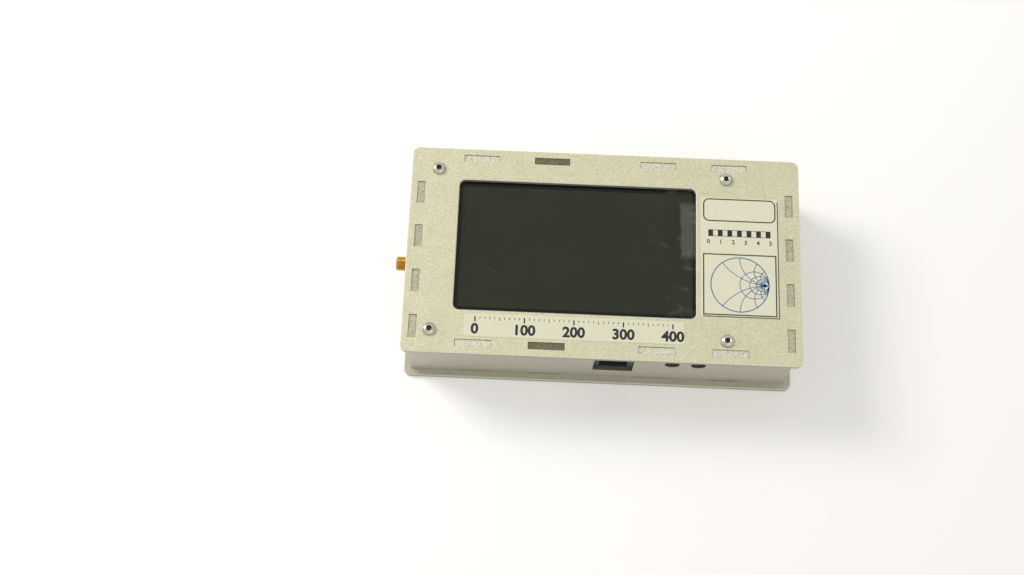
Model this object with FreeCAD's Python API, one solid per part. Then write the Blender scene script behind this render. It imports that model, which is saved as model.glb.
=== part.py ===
"""Handheld antenna analyzer in a slotted sheet-aluminium case, in millimetres.

The origin is the middle of the case's underside. +X runs to the right along the case,
+Y to the far side as the screen is read, and +Z up out of the screen.
Each node is one separate piece of the instrument, or one set of identical pieces.
"""

import FreeCAD, Part
import math
import os

V = FreeCAD.Vector

# Case
case_length = 164.0
case_depth = 92.0
case_height = 33.0
plate_thickness = 2.0
plate_corner_radius = 3.0
plate_edge_chamfer = 0.3
plate_overhang = 3.0
wall_thickness = 3.0

# Tabs of the walls and their slots in the two plates
long_slot_length = 15.0
long_slot_inner = 22.5
long_slot_outer = 52.5
end_finger_count = 8
slot_clearance = 0.1
tab_recess = 0.4

# Window in the top panel, as distances from the panel's edges
window_inset_right = 43.4
window_inset_left = 20.6
window_inset_far = 14.4
window_inset_near = 19.0
window_corner_radius = 2.6

# Screws, standoffs and sleeves
screw_inset_right = 30.8
screw_inset_left = 11.5
screw_inset_side = 9.8
screw_radius = 1.45
screw_hole_clearance = 0.15
thread_clearance = 0.05
button_head_radius = 2.85
button_head_height = 1.65
panel_screw_length = 16.0
base_screw_length = 8.0
countersunk_head_radius = 2.9
countersunk_head_height = 1.5
hex_key_width = 2.0
hex_key_depth = 1.0
standoff_width = 5.5
sleeve_wall = 1.3

# Printed labels
label_thickness = 0.15
side_label_inset = 9.2
side_label_width = 32.4
side_label_far_inset = 18.2
side_label_depth = 53.5
title_label_inset = 48.3
title_label_left_inset = 25.5
title_label_near_inset = 7.5
title_label_depth = 9.9
label_corner_radius = 1.0

# Display stack, from the panel down
gasket_thickness = 0.3
gasket_width = 1.8
gasket_window_gap = 0.3
touch_glass_thickness = 0.7
touch_glass_inset = 0.5
lcd_lip_x = 2.75
lcd_lip_y = 4.3
lcd_tray_height = 3.65
lcd_tray_wall = 1.2
lcd_screen_thickness = 1.2
display_pad_thickness = 1.35
display_pad_width = 8.0
display_pad_inset = 6.0
flex_width = 20.0
flex_thickness = 0.25
flex_drop_from_tray = 2.6
flex_first_run = 1.0
flex_slope_run = 1.6
flex_tail = 2.4
flex_connector_length = 3.6
flex_connector_height = 1.3
flex_connector_side = 2.0

# Display board
board_thickness = 1.6
board_end_gap = 1.0
board_side_gap = 0.5
board_right_margin = 5.8
processor_size = 15.0
processor_height = 1.3
processor_inset = 42.0
memory_length = 10.0
memory_width = 8.0
memory_height = 1.1
memory_pitch = 12.0
memory_gap = 5.0
crystal_length = 5.0
crystal_width = 3.2
crystal_height = 1.2

# Network jack under the display board
network_jack_inset = 76.1
network_jack_width = 16.0
network_jack_height = 13.5
network_jack_length = 21.3
network_jack_recess = 1.5
network_shell_thickness = 0.3
network_cavity_width = 11.7
network_cavity_height = 6.9
network_cavity_depth = 14.0
network_cavity_floor = 1.5
network_latch_width = 6.2
network_latch_height = 1.9
network_led_width = 3.4
network_led_height = 2.9
network_led_depth = 8.0
network_contact_count = 8
network_contact_pitch = 1.02
network_contact_width = 0.45
network_contact_rise = 1.9
network_contact_run = 9.0
network_contact_thickness = 0.3
opening_clearance = 0.3

# Audio jacks under the display board
audio_jack_inset = 41.1
audio_jack_pitch = 10.8
audio_jack_count = 2
audio_jack_width = 6.5
audio_jack_height = 6.4
audio_jack_length = 12.3
audio_nose_radius = 2.5
audio_nose_recess = 1.8
audio_bore_radius = 1.8
audio_bore_depth = 13.0
audio_hole_radius = 3.1

# Micro sockets for data and for charging
usb_width = 7.6
usb_height = 2.7
usb_length = 5.6
usb_shell = 0.35
usb_tongue_width = 4.6
usb_tongue_height = 0.6
usb_mouth_depth = 4.2
usb_recess = 2.0
usb_opening_clearance = 0.6
data_usb_gap = 16.2
charge_usb_y = 15.0

# Memory card and its socket
card_width = 11.0
card_length = 15.0
card_thickness = 1.0
card_clearance = 0.2
card_recess = 1.0
card_inset = 67.0
card_socket_wall = 1.2
card_socket_roof = 0.4
card_slot_clearance = 0.6
card_grip_depth = 1.2
card_grip_height = 0.3

# Side-pressed switches for reset and user, on the display board's far edge
press_switch_width = 6.0
press_switch_depth = 3.5
press_switch_height = 3.6
press_first_inset = 27.0
press_pitch = 12.0
plunger_radius = 1.2
plunger_clearance = 0.1
plunger_hole_clearance = 0.4
plunger_recess = 0.4
plunger_seat_depth = 2.0
plunger_travel = 0.4

# Plug-in radio board
header_strip_height = 2.5
header_socket_roof = 1.0
header_pin_tip_gap = 1.7
header_width = 2.5
header_pitch = 2.54
header_row_spacing = 48.26
header_group_gap = 1.5
header_long_row = (8, 10)
header_short_row = (8, 6)
header_pin_width = 0.64
header_pin_hole_clearance = 0.15
header_pin_tail = 1.5
rf_board_thickness = 1.6
rf_board_depth = 56.0
rf_board_jack_gap = 3.9
rf_board_air_gap = 1.0
shield_length = 28.0
shield_depth = 30.0
shield_height = 5.0
shield_thickness = 0.3
chip_length = 9.9
chip_width = 3.9
chip_height = 1.5
chip_pitch = 8.0
chip_count = 3
rf_crystal_gap = 1.5
rf_crystal_length = 7.0
rf_crystal_width = 5.0
rf_crystal_height = 1.4

# Coaxial jack on the left wall
coax_thread_radius = 3.175
coax_neck_relief = 0.4
coax_hole_clearance = 0.1
coax_dielectric_radius = 2.05
coax_contact_radius = 0.64
coax_contact_bore_radius = 0.4
coax_contact_bore_depth = 3.0
coax_flange_width = 6.35
coax_flange_thickness = 1.6
coax_thread_reach = 11.4
coax_leg_length = 3.8
coax_leg_width = 1.0
coax_tail_length = 3.0
coax_washer_radius = 4.6
coax_washer_thickness = 0.5
coax_nut_width = 8.0
coax_nut_thickness = 2.0

# Power board with its switch, charging socket and lamp
power_board_gap = 0.7
power_board_length = 29.0
power_board_depth = 60.0
power_board_thickness = 1.6
support_height = 2.6
support_radius = 3.0
support_pin_radius = 1.4
support_pin_clearance = 0.1
support_pin_proud = 1.0
support_inset = 4.0
support_left_inset = 10.0
switch_y = -18.0
switch_width = 10.0
switch_depth = 4.2
switch_height = 3.6
switch_board_inset = 0.3
slider_width = 2.0
slider_height = 1.6
slider_travel = 2.5
slider_clearance = 0.3
slider_proud = 1.4
slider_foot_width = 3.2
slider_foot_height = 2.4
slider_foot_length = 1.2
slider_foot_front = 1.0
charger_length = 5.0
charger_width = 4.0
charger_height = 1.2
charger_offset = 14.0
lamp_y = 24.5
lamp_width = 1.6
lamp_height = 0.8
lamp_hole_radius = 0.9
plug_length = 5.0
plug_width = 6.0
plug_height = 3.2
plug_inset = 1.0

# Battery and leads
battery_gap = 14.0
battery_length = 60.0
battery_depth = 50.0
battery_jack_gap = 2.1
battery_pin_gap = 1.5
battery_corner_radius = 2.0
battery_pad_thickness = 0.3
battery_pad_inset = 4.0
lead_radius = 0.6
lead_pitch = 2.0
lead_first_run = 5.0
supply_lead_offset = 17.0
supply_lead_board_gap = 1.2
supply_lead_bow = 1.8
supply_lead_foot = 3.8

# Case planes
half_length = case_length / 2
half_depth = case_depth / 2
wall_outer_x = half_length - plate_overhang
wall_outer_y = half_depth - plate_overhang
wall_inner_x = wall_outer_x - wall_thickness
wall_inner_y = wall_outer_y - wall_thickness
panel_underside = case_height - plate_thickness
end_finger_length = 2 * wall_inner_y / end_finger_count

# Window and display outline
window_x = (-half_length + window_inset_left, half_length - window_inset_right)
window_y = (-half_depth + window_inset_near, half_depth - window_inset_far)
tray_x = (window_x[0] - lcd_lip_x, window_x[1] + lcd_lip_x)
tray_y = (window_y[0] - lcd_lip_y, window_y[1] + lcd_lip_y)
glass_top = panel_underside - gasket_thickness
tray_top = glass_top - touch_glass_thickness
tray_bottom = tray_top - lcd_tray_height
board_top = tray_bottom - display_pad_thickness
board_bottom = board_top - board_thickness

# Screw places
screw_left = -half_length + screw_inset_left
screw_right = half_length - screw_inset_right
screw_side = half_depth - screw_inset_side
screw_places = [(x, y) for x in (screw_left, screw_right) for y in (-screw_side, screw_side)]
screw_hole_radius = screw_radius + screw_hole_clearance

# Display board outline
board_x = (-wall_inner_x + board_end_gap, screw_right + board_right_margin)
board_y = (-wall_inner_y + board_side_gap, wall_inner_y - board_side_gap)

# Network jack box
network_x = half_length - network_jack_inset
network_front = -wall_outer_y + network_jack_recess
network_back = network_front + network_jack_length
network_bottom = board_bottom - network_jack_height
network_floor = network_bottom + network_cavity_floor

# Audio jack lines
audio_z = board_bottom - audio_jack_height / 2
audio_places = [half_length - audio_jack_inset - i * audio_jack_pitch for i in range(audio_jack_count)]
audio_nose_front = -wall_outer_y + audio_nose_recess
audio_body_front = -wall_inner_y + board_side_gap

# Power board planes
power_board_bottom = plate_thickness + support_height
power_board_top = power_board_bottom + power_board_thickness
power_board_x = (-wall_inner_x + power_board_gap, -wall_inner_x + power_board_gap + power_board_length)

# Radio board planes, from the power switch below it up to the display board
rf_board_bottom = power_board_top + switch_height + rf_board_air_gap
rf_board_top = rf_board_bottom + rf_board_thickness
rf_board_x = (-wall_inner_x + coax_flange_thickness, network_x - network_jack_width / 2 - rf_board_jack_gap)
rf_board_middle = (rf_board_x[0] + rf_board_x[1]) / 2
header_socket_bottom = rf_board_top + header_strip_height
header_row_length = sum(header_long_row) * header_pitch + header_group_gap
shield_x = (rf_board_middle - shield_length / 2, rf_board_middle + shield_length / 2)
coax_z = rf_board_top + coax_contact_radius
coax_washer_face = -wall_outer_x - coax_washer_thickness
coax_nut_x = (coax_washer_face - coax_nut_thickness, coax_washer_face)

# Press switch places along the far wall
press_z = board_bottom - press_switch_height / 2
press_places = [-half_length + press_first_inset + i * press_pitch for i in range(2)]
press_switch_back = board_y[1]
data_usb_x = press_places[-1] + press_switch_width / 2 + data_usb_gap + usb_width / 2

# Memory card planes
card_x = half_length - card_inset
card_bottom = board_bottom - card_socket_roof - card_clearance - card_thickness
card_mouth = wall_outer_y - card_recess


def box(x_range, y_range, z_range):
    """A box between two values on each axis."""
    size = [r[1] - r[0] for r in (x_range, y_range, z_range)]
    return Part.makeBox(*size, V(x_range[0], y_range[0], z_range[0]))


def about(middle, width):
    """The two values half a width each side of a middle."""
    return (middle - width / 2, middle + width / 2)


def upright(x, y, z_range, radius):
    """A cylinder standing along Z."""
    return Part.makeCylinder(radius, z_range[1] - z_range[0], V(x, y, z_range[0]))


def along_y(x, z, y_range, radius):
    """A cylinder lying along Y."""
    return Part.makeCylinder(radius, y_range[1] - y_range[0], V(x, y_range[0], z), V(0, 1, 0))


def along_x(y, z, x_range, radius):
    """A cylinder lying along X."""
    return Part.makeCylinder(radius, x_range[1] - x_range[0], V(x_range[0], y, z), V(1, 0, 0))


def rounded_box(x_range, y_range, z_range, radius):
    """A box whose four upright edges are rounded."""
    block = box(x_range, y_range, z_range)
    height = z_range[1] - z_range[0]
    edges = [e for e in block.Edges if abs(e.BoundBox.ZLength - height) < 1e-6 and e.BoundBox.XLength < 1e-6]
    return block.makeFillet(radius, edges)


def hexagon(x, y, z_range, across_flats):
    """An upright hexagonal bar."""
    corner = across_flats / math.sqrt(3)
    points = [
        V(x + corner * math.cos(i * math.pi / 3), y + corner * math.sin(i * math.pi / 3), z_range[0])
        for i in range(7)
    ]
    return Part.Face(Part.makePolygon(points)).extrude(V(0, 0, z_range[1] - z_range[0]))


def chamfer_top(shape, level, size):
    """Chamfers every edge that lies in one level plane."""
    edges = [e for e in shape.Edges if e.BoundBox.ZLength < 1e-6 and abs(e.BoundBox.ZMin - level) < 1e-6]
    return shape.makeChamfer(size, edges)


def widened(values, by):
    """A pair of values moved apart by one amount at each end."""
    return (values[0] - by, values[1] + by)


def keep(name, *solids):
    """Writes one node: a piece, or a set of separate identical pieces."""
    found = [s for shape in solids for s in shape.Solids]
    bad = [s for s in found if not s.isValid() or s.Volume <= 0]
    if bad or not found:
        raise ValueError(f"{name} has a solid that isn't valid")
    shape = found[0] if len(found) == 1 else Part.makeCompound(found)
    shape.exportStep(f"parts/{name}.step")
    print(f"{name}: {len(found)} solids, {shape.Volume:.1f} mm3")


def long_tab_places():
    """The middles along X of the four tabs on each long wall."""
    return [side * place for place in (long_slot_inner, long_slot_outer) for side in (-1, 1)]


def end_tab_places():
    """The middles along Y of the tabs on each end wall: every second finger from the near end."""
    return [-wall_inner_y + (i + 0.5) * end_finger_length for i in range(0, end_finger_count, 2)]


def slot_cuts(z_range):
    """The slots of one plate that take the tabs of the four walls."""
    cuts = []
    for side in (-1, 1):
        y_range = widened(about(side * (wall_outer_y - wall_thickness / 2), wall_thickness), slot_clearance)
        cuts += [box(about(x, long_slot_length), y_range, z_range) for x in long_tab_places()]
        x_range = widened(about(side * (wall_outer_x - wall_thickness / 2), wall_thickness), slot_clearance)
        cuts += [box(x_range, about(y, end_finger_length), z_range) for y in end_tab_places()]
    return cuts


def tab_levels():
    """The Z ranges of the tabs below and above a wall."""
    return ((tab_recess, plate_thickness), (panel_underside, case_height - tab_recess))


def top_panel():
    """The panel with its window, slots and screw holes."""
    z_range = (panel_underside, case_height)
    outline = rounded_box((-half_length, half_length), (-half_depth, half_depth), z_range, plate_corner_radius)
    plate = outline.cut(rounded_box(window_x, window_y, z_range, window_corner_radius))
    plate = chamfer_top(plate, case_height, plate_edge_chamfer)
    holes = [upright(x, y, z_range, screw_hole_radius) for x, y in screw_places]
    return plate.cut(slot_cuts(z_range) + holes)


def bottom_plate():
    """The base plate with slots and countersunk screw holes."""
    z_range = (0, plate_thickness)
    plate = rounded_box((-half_length, half_length), (-half_depth, half_depth), z_range, plate_corner_radius)
    plate = chamfer_top(plate, plate_thickness, plate_edge_chamfer)
    cuts = slot_cuts(z_range)
    for x, y in screw_places:
        cuts.append(upright(x, y, z_range, screw_hole_radius))
        cuts.append(countersink(x, y, screw_hole_clearance))
    return plate.cut(cuts)


def countersink(x, y, clearance):
    """The cone of a countersunk head, wider by a clearance."""
    return Part.makeCone(
        countersunk_head_radius + clearance,
        screw_radius + clearance,
        countersunk_head_height,
        V(x, y, 0),
    )


def long_wall(side):
    """A long wall with its tabs, before its openings. Side is -1 for the near wall and 1 for the far one."""
    y_range = sorted((side * wall_inner_y, side * wall_outer_y))
    wall = box((-wall_outer_x, wall_outer_x), y_range, (plate_thickness, panel_underside))
    tab_length = long_slot_length - 2 * slot_clearance
    tabs = [box(about(x, tab_length), y_range, z) for x in long_tab_places() for z in tab_levels()]
    return wall.fuse(tabs).removeSplitter()


def end_wall(side):
    """An end wall between the long walls, with its tabs. Side is -1 for the left wall and 1 for the right one."""
    x_range = sorted((side * wall_inner_x, side * wall_outer_x))
    wall = box(x_range, (-wall_inner_y, wall_inner_y), (plate_thickness, panel_underside))
    tab_length = end_finger_length - 2 * slot_clearance
    tabs = [box(x_range, about(y, tab_length), z) for y in end_tab_places() for z in tab_levels()]
    return wall.fuse(tabs).removeSplitter()


def front_wall():
    """The near wall, open for the network jack and the two audio jacks."""
    y_range = (-wall_outer_y, -wall_inner_y)
    network_cut = box(
        widened(about(network_x, network_jack_width), opening_clearance),
        y_range,
        widened((network_bottom, board_bottom), opening_clearance),
    )
    audio_cuts = [along_y(x, audio_z, y_range, audio_hole_radius) for x in audio_places]
    return long_wall(-1).cut([network_cut] + audio_cuts)


def rear_wall():
    """The far wall, open for the data socket, the memory card and the two press switches."""
    y_range = (wall_inner_y, wall_outer_y)
    usb_cut = box(
        widened(about(data_usb_x, usb_width), usb_opening_clearance),
        y_range,
        widened((board_bottom - usb_height, board_bottom), usb_opening_clearance),
    )
    card_cut = box(
        widened(about(card_x, card_width), card_slot_clearance),
        y_range,
        widened((card_bottom, card_bottom + card_thickness), card_slot_clearance),
    )
    hole_radius = plunger_radius + plunger_hole_clearance
    press_cuts = [along_y(x, press_z, y_range, hole_radius) for x in press_places]
    return long_wall(1).cut([usb_cut, card_cut] + press_cuts)


def left_wall():
    """The left wall, open for the coaxial jack, the charging socket, the slider and the lamp."""
    x_range = (-wall_outer_x, -wall_inner_x)
    coax_cut = along_x(0, coax_z, x_range, coax_thread_radius + coax_hole_clearance)
    usb_cut = box(
        x_range,
        widened(about(charge_usb_y, usb_width), usb_opening_clearance),
        widened((power_board_top, power_board_top + usb_height), usb_opening_clearance),
    )
    slider_cut = box(x_range, *slider_window(slider_clearance))
    lamp_cut = along_x(lamp_y, lamp_level(), x_range, lamp_hole_radius)
    return end_wall(-1).cut([coax_cut, usb_cut, slider_cut, lamp_cut])


def lamp_level():
    """The height of the charging lamp's middle."""
    return power_board_top + lamp_height / 2


def slider_window(clearance):
    """The Y and Z ranges that the slider's stem sweeps, with a clearance."""
    y_range = widened(about(switch_y, slider_travel + slider_width), clearance)
    z_range = widened(about(power_board_top + switch_height / 2, slider_height), clearance)
    return y_range, z_range


def panel_screws():
    """Four button head screws with hexagon sockets, heads on the panel."""
    screws = []
    for x, y in screw_places:
        head_top = case_height + button_head_height
        sphere_radius = (button_head_radius**2 + button_head_height**2) / (2 * button_head_height)
        dome = Part.makeSphere(sphere_radius, V(x, y, head_top - sphere_radius))
        head = upright(x, y, (case_height, head_top), button_head_radius).common(dome)
        shank = upright(x, y, (case_height - panel_screw_length, case_height), screw_radius)
        socket = hexagon(x, y, (head_top - hex_key_depth, head_top), hex_key_width)
        screws.append(head.fuse(shank).cut(socket))
    return screws


def bottom_screws():
    """Four countersunk screws, heads flush with the underside."""
    screws = []
    for x, y in screw_places:
        shank = upright(x, y, (countersunk_head_height / 2, base_screw_length), screw_radius)
        socket = hexagon(x, y, (0, hex_key_depth), hex_key_width)
        screws.append(countersink(x, y, 0).fuse(shank).cut(socket))
    return screws


def standoffs():
    """Four hexagonal standoffs from the base plate to the display board."""
    made = []
    for x, y in screw_places:
        bar = hexagon(x, y, (plate_thickness, board_bottom), standoff_width)
        made.append(bar.cut(upright(x, y, (plate_thickness, board_bottom), screw_radius + thread_clearance)))
    return made


def spacer_sleeves():
    """Four round sleeves from the display board to the panel."""
    made = []
    z_range = (board_top, panel_underside)
    for x, y in screw_places:
        outside = upright(x, y, z_range, screw_hole_radius + sleeve_wall)
        made.append(outside.cut(upright(x, y, z_range, screw_hole_radius)))
    return made


def side_label():
    """The printed film at the right of the window."""
    right = half_length - side_label_inset
    far = half_depth - side_label_far_inset
    z_range = (case_height, case_height + label_thickness)
    x_range = (right - side_label_width, right)
    return rounded_box(x_range, (far - side_label_depth, far), z_range, label_corner_radius)


def title_label():
    """The printed strip between the window and the near slots."""
    right = half_length - title_label_inset
    near = -half_depth + title_label_near_inset
    z_range = (case_height, case_height + label_thickness)
    x_range = (-half_length + title_label_left_inset, right)
    return rounded_box(x_range, (near, near + title_label_depth), z_range, label_corner_radius)


def window_gasket():
    """The foam frame between the touch glass and the panel."""
    z_range = (glass_top, panel_underside)
    inner = [widened(r, gasket_window_gap) for r in (window_x, window_y)]
    outer = [widened(r, gasket_width) for r in inner]
    hole = rounded_box(*inner, z_range, window_corner_radius)
    return rounded_box(*outer, z_range, window_corner_radius).cut(hole)


def touch_glass():
    """The glass that shows through the window."""
    x_range = widened(tray_x, -touch_glass_inset)
    y_range = widened(tray_y, -touch_glass_inset)
    return box(x_range, y_range, (tray_top, glass_top))


def lcd_tray():
    """The metal tray that holds the backlight and the screen."""
    tray = box(tray_x, tray_y, (tray_bottom, tray_top))
    return tray.cut(screen_block())


def screen_block():
    """The space of the screen in its tray."""
    x_range = widened(tray_x, -lcd_tray_wall)
    y_range = widened(tray_y, -lcd_tray_wall)
    return box(x_range, y_range, (tray_top - lcd_screen_thickness, tray_top))


def display_pads():
    """Two foam strips that hold the tray on the board."""
    y_range = widened(tray_y, -display_pad_inset)
    z_range = (board_top, tray_bottom)
    left = (tray_x[0] + display_pad_inset, tray_x[0] + display_pad_inset + display_pad_width)
    right = (tray_x[1] - display_pad_inset - display_pad_width, tray_x[1] - display_pad_inset)
    return [box(x_range, y_range, z_range) for x_range in (left, right)]


def flex_middle_y():
    """The middle of the display along Y."""
    return (tray_y[0] + tray_y[1]) / 2


def flex_levels():
    """The heights of the flat cable at the tray and in its connector."""
    return tray_top - flex_drop_from_tray, board_top + flex_connector_height / 2


def display_flex():
    """The flat cable from the tray's right side down into its connector."""
    high, low = flex_levels()
    bend = tray_x[1] + flex_first_run
    foot = bend + flex_slope_run
    line = [(tray_x[1], high), (bend, high), (foot, low), (foot + flex_tail, low)]
    upper = [(x, z + flex_thickness / 2) for x, z in line]
    lower = [(x, z - flex_thickness / 2) for x, z in reversed(line)]
    near = flex_middle_y() - flex_width / 2
    ring = [V(x, near, z) for x, z in upper + lower]
    return Part.Face(Part.makePolygon(ring + ring[:1])).extrude(V(0, flex_width, 0))


def flex_connector():
    """The connector on the board that takes the flat cable."""
    foot = tray_x[1] + flex_first_run + flex_slope_run
    y_range = widened(about(flex_middle_y(), flex_width), flex_connector_side)
    body = box((foot, foot + flex_connector_length), y_range, (board_top, board_top + flex_connector_height))
    slot_y = about(flex_middle_y(), flex_width)
    slot = box((foot, foot + flex_tail), slot_y, about(flex_levels()[1], flex_thickness))
    return body.cut(slot)


def display_board():
    """The main circuit board, with the four screw holes."""
    board = box(board_x, board_y, (board_bottom, board_top))
    return board.cut([upright(x, y, (board_bottom, board_top), screw_hole_radius) for x, y in screw_places])


def processor():
    """The processor on the underside of the display board."""
    x = board_x[0] + processor_inset
    z_range = (board_bottom - processor_height, board_bottom)
    return box(about(x, processor_size), about(0, processor_size), z_range)


def board_chips():
    """Two memory chips and the clock crystal beside the processor."""
    x = board_x[0] + processor_inset + processor_size / 2 + memory_gap + memory_width / 2
    z_range = (board_bottom - memory_height, board_bottom)
    chips = [box(about(x, memory_width), about(side * memory_pitch / 2, memory_length), z_range) for side in (-1, 1)]
    crystal_x = board_x[0] + processor_inset - processor_size / 2 - memory_gap
    crystal_z = (board_bottom - crystal_height, board_bottom)
    return chips + [box(about(crystal_x, crystal_width), about(0, crystal_length), crystal_z)]


def network_inside(front, back):
    """The space inside the network jack's shell."""
    x_range = widened(about(network_x, network_jack_width), -network_shell_thickness)
    z_range = widened((network_bottom, board_bottom), -network_shell_thickness)
    return box(x_range, (front, back), z_range)


def network_shell():
    """The folded shell of the network jack, open at the front."""
    x_range = about(network_x, network_jack_width)
    outside = box(x_range, (network_front, network_back), (network_bottom, board_bottom))
    return outside.cut(network_inside(network_front, network_back - network_shell_thickness))


def network_led_boxes():
    """The two lamp blocks in the upper corners of the network jack."""
    top = board_bottom - network_shell_thickness
    z_range = (top - network_led_height, top)
    y_range = (network_front, network_front + network_led_depth)
    reach = network_jack_width / 2 - network_shell_thickness
    made = []
    for side in (-1, 1):
        x_range = sorted((network_x + side * reach, network_x + side * (reach - network_led_width)))
        made.append(box(x_range, y_range, z_range))
    return made


def network_insert():
    """The moulded body of the network jack, with the plug's cavity and the latch slot."""
    block = network_inside(network_front, network_back - network_shell_thickness)
    y_range = (network_front, network_front + network_cavity_depth)
    ceiling = network_floor + network_cavity_height
    cavity = box(about(network_x, network_cavity_width), y_range, (network_floor, ceiling))
    latch = box(about(network_x, network_latch_width), y_range, (ceiling, ceiling + network_latch_height))
    return block.cut([cavity, latch] + network_led_boxes())


def network_contacts():
    """The sprung contacts that slope up from the cavity's floor to its back."""
    back = network_front + network_cavity_depth
    foot = back - network_contact_run
    top = network_floor + network_contact_rise
    line = [(foot, network_floor), (back, top), (back, top - network_contact_thickness)]
    line.append((foot + 2 * network_contact_thickness, network_floor))
    made = []
    for i in range(network_contact_count):
        middle = network_x + (i - (network_contact_count - 1) / 2) * network_contact_pitch
        left = middle - network_contact_width / 2
        ring = [V(left, y, z) for y, z in line]
        made.append(Part.Face(Part.makePolygon(ring + ring[:1])).extrude(V(network_contact_width, 0, 0)))
    return made


def audio_jack(x):
    """One audio jack: a block under the board with a round nose and the plug's bore."""
    y_range = (audio_body_front, audio_body_front + audio_jack_length)
    block = box(about(x, audio_jack_width), y_range, (board_bottom - audio_jack_height, board_bottom))
    nose = along_y(x, audio_z, (audio_nose_front, audio_body_front), audio_nose_radius)
    bore = along_y(x, audio_z, (audio_nose_front, audio_nose_front + audio_bore_depth), audio_bore_radius)
    return block.fuse(nose).cut(bore)


def usb_socket(x, y, z, turn):
    """A micro socket with its mouth's lower middle at a point, facing -Y before it is turned about Z."""
    shell = box(about(0, usb_width), (0, usb_length), (0, usb_height))
    mouth = box(about(0, usb_width - 2 * usb_shell), (0, usb_mouth_depth), (usb_shell, usb_height - usb_shell))
    tongue_z = about(usb_height / 2, usb_tongue_height)
    tongue = box(about(0, usb_tongue_width), (usb_shell, usb_mouth_depth), tongue_z)
    socket = shell.cut(mouth).fuse(tongue).removeSplitter()
    socket.rotate(V(0, 0, 0), V(0, 0, 1), turn)
    socket.translate(V(x, y, z))
    return socket


def card_block(clearance, mouth):
    """The space of the memory card, up to a mouth along Y."""
    x_range = widened(about(card_x, card_width), clearance)
    z_range = widened((card_bottom, card_bottom + card_thickness), clearance)
    return box(x_range, (card_mouth - card_length, mouth), z_range)


def card_socket():
    """The card socket under the display board's far edge."""
    x_range = widened(about(card_x, card_width), card_socket_wall)
    bottom = card_bottom - card_clearance - card_socket_roof
    back = card_mouth - card_length - card_socket_wall
    body = box(x_range, (back, board_y[1]), (bottom, board_bottom))
    return body.cut(card_block(card_clearance, board_y[1]))


def memory_card():
    """The memory card, with the finger ridge along its outer edge."""
    card = card_block(0, card_mouth)
    y_range = (card_mouth - card_grip_depth, card_mouth)
    z_range = (card_bottom - card_grip_height, card_bottom)
    return card.fuse(box(about(card_x, card_width), y_range, z_range)).removeSplitter()


def press_switch(x):
    """A side-pressed switch body with the guide of its plunger."""
    y_range = (press_switch_back - press_switch_depth, press_switch_back)
    z_range = (board_bottom - press_switch_height, board_bottom)
    guide_end = press_switch_back - plunger_seat_depth - plunger_travel - plunger_clearance
    guide = along_y(x, press_z, (guide_end, press_switch_back), plunger_radius + plunger_clearance / 2)
    return box(about(x, press_switch_width), y_range, z_range).cut(guide)


def plunger(x):
    """A switch plunger, from its seat out into the hole in the far wall."""
    y_range = (press_switch_back - plunger_seat_depth, wall_outer_y - plunger_recess)
    return along_y(x, press_z, y_range, plunger_radius)


def header_groups():
    """Each header block as its first pin's X, its row's Y and its pin count."""
    groups = []
    for side, row in ((-1, header_long_row), (1, header_short_row)):
        x = rf_board_middle - header_row_length / 2
        for count in row:
            groups.append((x + header_pitch / 2, side * header_row_spacing / 2, count))
            x += count * header_pitch + header_group_gap
    return groups


def header_pin_places():
    """The X and Y of every header pin."""
    return [(x + i * header_pitch, y) for x, y, count in header_groups() for i in range(count)]


def header_blocks(z_range, hole_z, hole_width):
    """One block for each header group, with a square hole for each pin."""
    made = []
    for x, y, count in header_groups():
        x_range = (x - header_pitch / 2, x + (count - 0.5) * header_pitch)
        block = box(x_range, about(y, header_width), z_range)
        holes = [box(about(x + i * header_pitch, hole_width), about(y, hole_width), hole_z) for i in range(count)]
        made.append(block.cut(holes))
    return made


def header_sockets():
    """The socket strips under the display board."""
    hole_z = (header_socket_bottom, board_bottom - header_socket_roof)
    hole_width = header_pin_width + 2 * header_pin_hole_clearance
    return header_blocks((header_socket_bottom, board_bottom), hole_z, hole_width)


def header_strips():
    """The pin strips on the radio board."""
    z_range = (rf_board_top, header_socket_bottom)
    return header_blocks(z_range, z_range, header_pin_width)


def header_pins():
    """The square pins, from below the radio board up into the sockets."""
    z_range = (rf_board_bottom - header_pin_tail, board_bottom - header_socket_roof - header_pin_tip_gap)
    return [box(about(x, header_pin_width), about(y, header_pin_width), z_range) for x, y in header_pin_places()]


def rf_board():
    """The plug-in radio board, with the holes of its pins."""
    z_range = (rf_board_bottom, rf_board_top)
    board = box(rf_board_x, about(0, rf_board_depth), z_range)
    holes = [box(about(x, header_pin_width), about(y, header_pin_width), z_range) for x, y in header_pin_places()]
    return board.cut(holes)


def rf_shield():
    """The screening can over the bridge and the mixers, open below."""
    y_range = about(0, shield_depth)
    outside = box(shield_x, y_range, (rf_board_top, rf_board_top + shield_height))
    inside = box(
        widened(shield_x, -shield_thickness),
        widened(y_range, -shield_thickness),
        (rf_board_top, rf_board_top + shield_height - shield_thickness),
    )
    return outside.cut(inside)


def rf_chips():
    """The mixers and the clock source under the screening can."""
    z_range = (rf_board_top, rf_board_top + chip_height)
    places = [(i - (chip_count - 1) / 2) * chip_pitch for i in range(chip_count)]
    return [box(about(rf_board_middle, chip_length), about(y, chip_width), z_range) for y in places]


def rf_crystal():
    """The reference crystal beside the screening can."""
    right = shield_x[0] - rf_crystal_gap
    z_range = (rf_board_top, rf_board_top + rf_crystal_height)
    return box((right - rf_crystal_length, right), about(-chip_pitch, rf_crystal_width), z_range)


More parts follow.
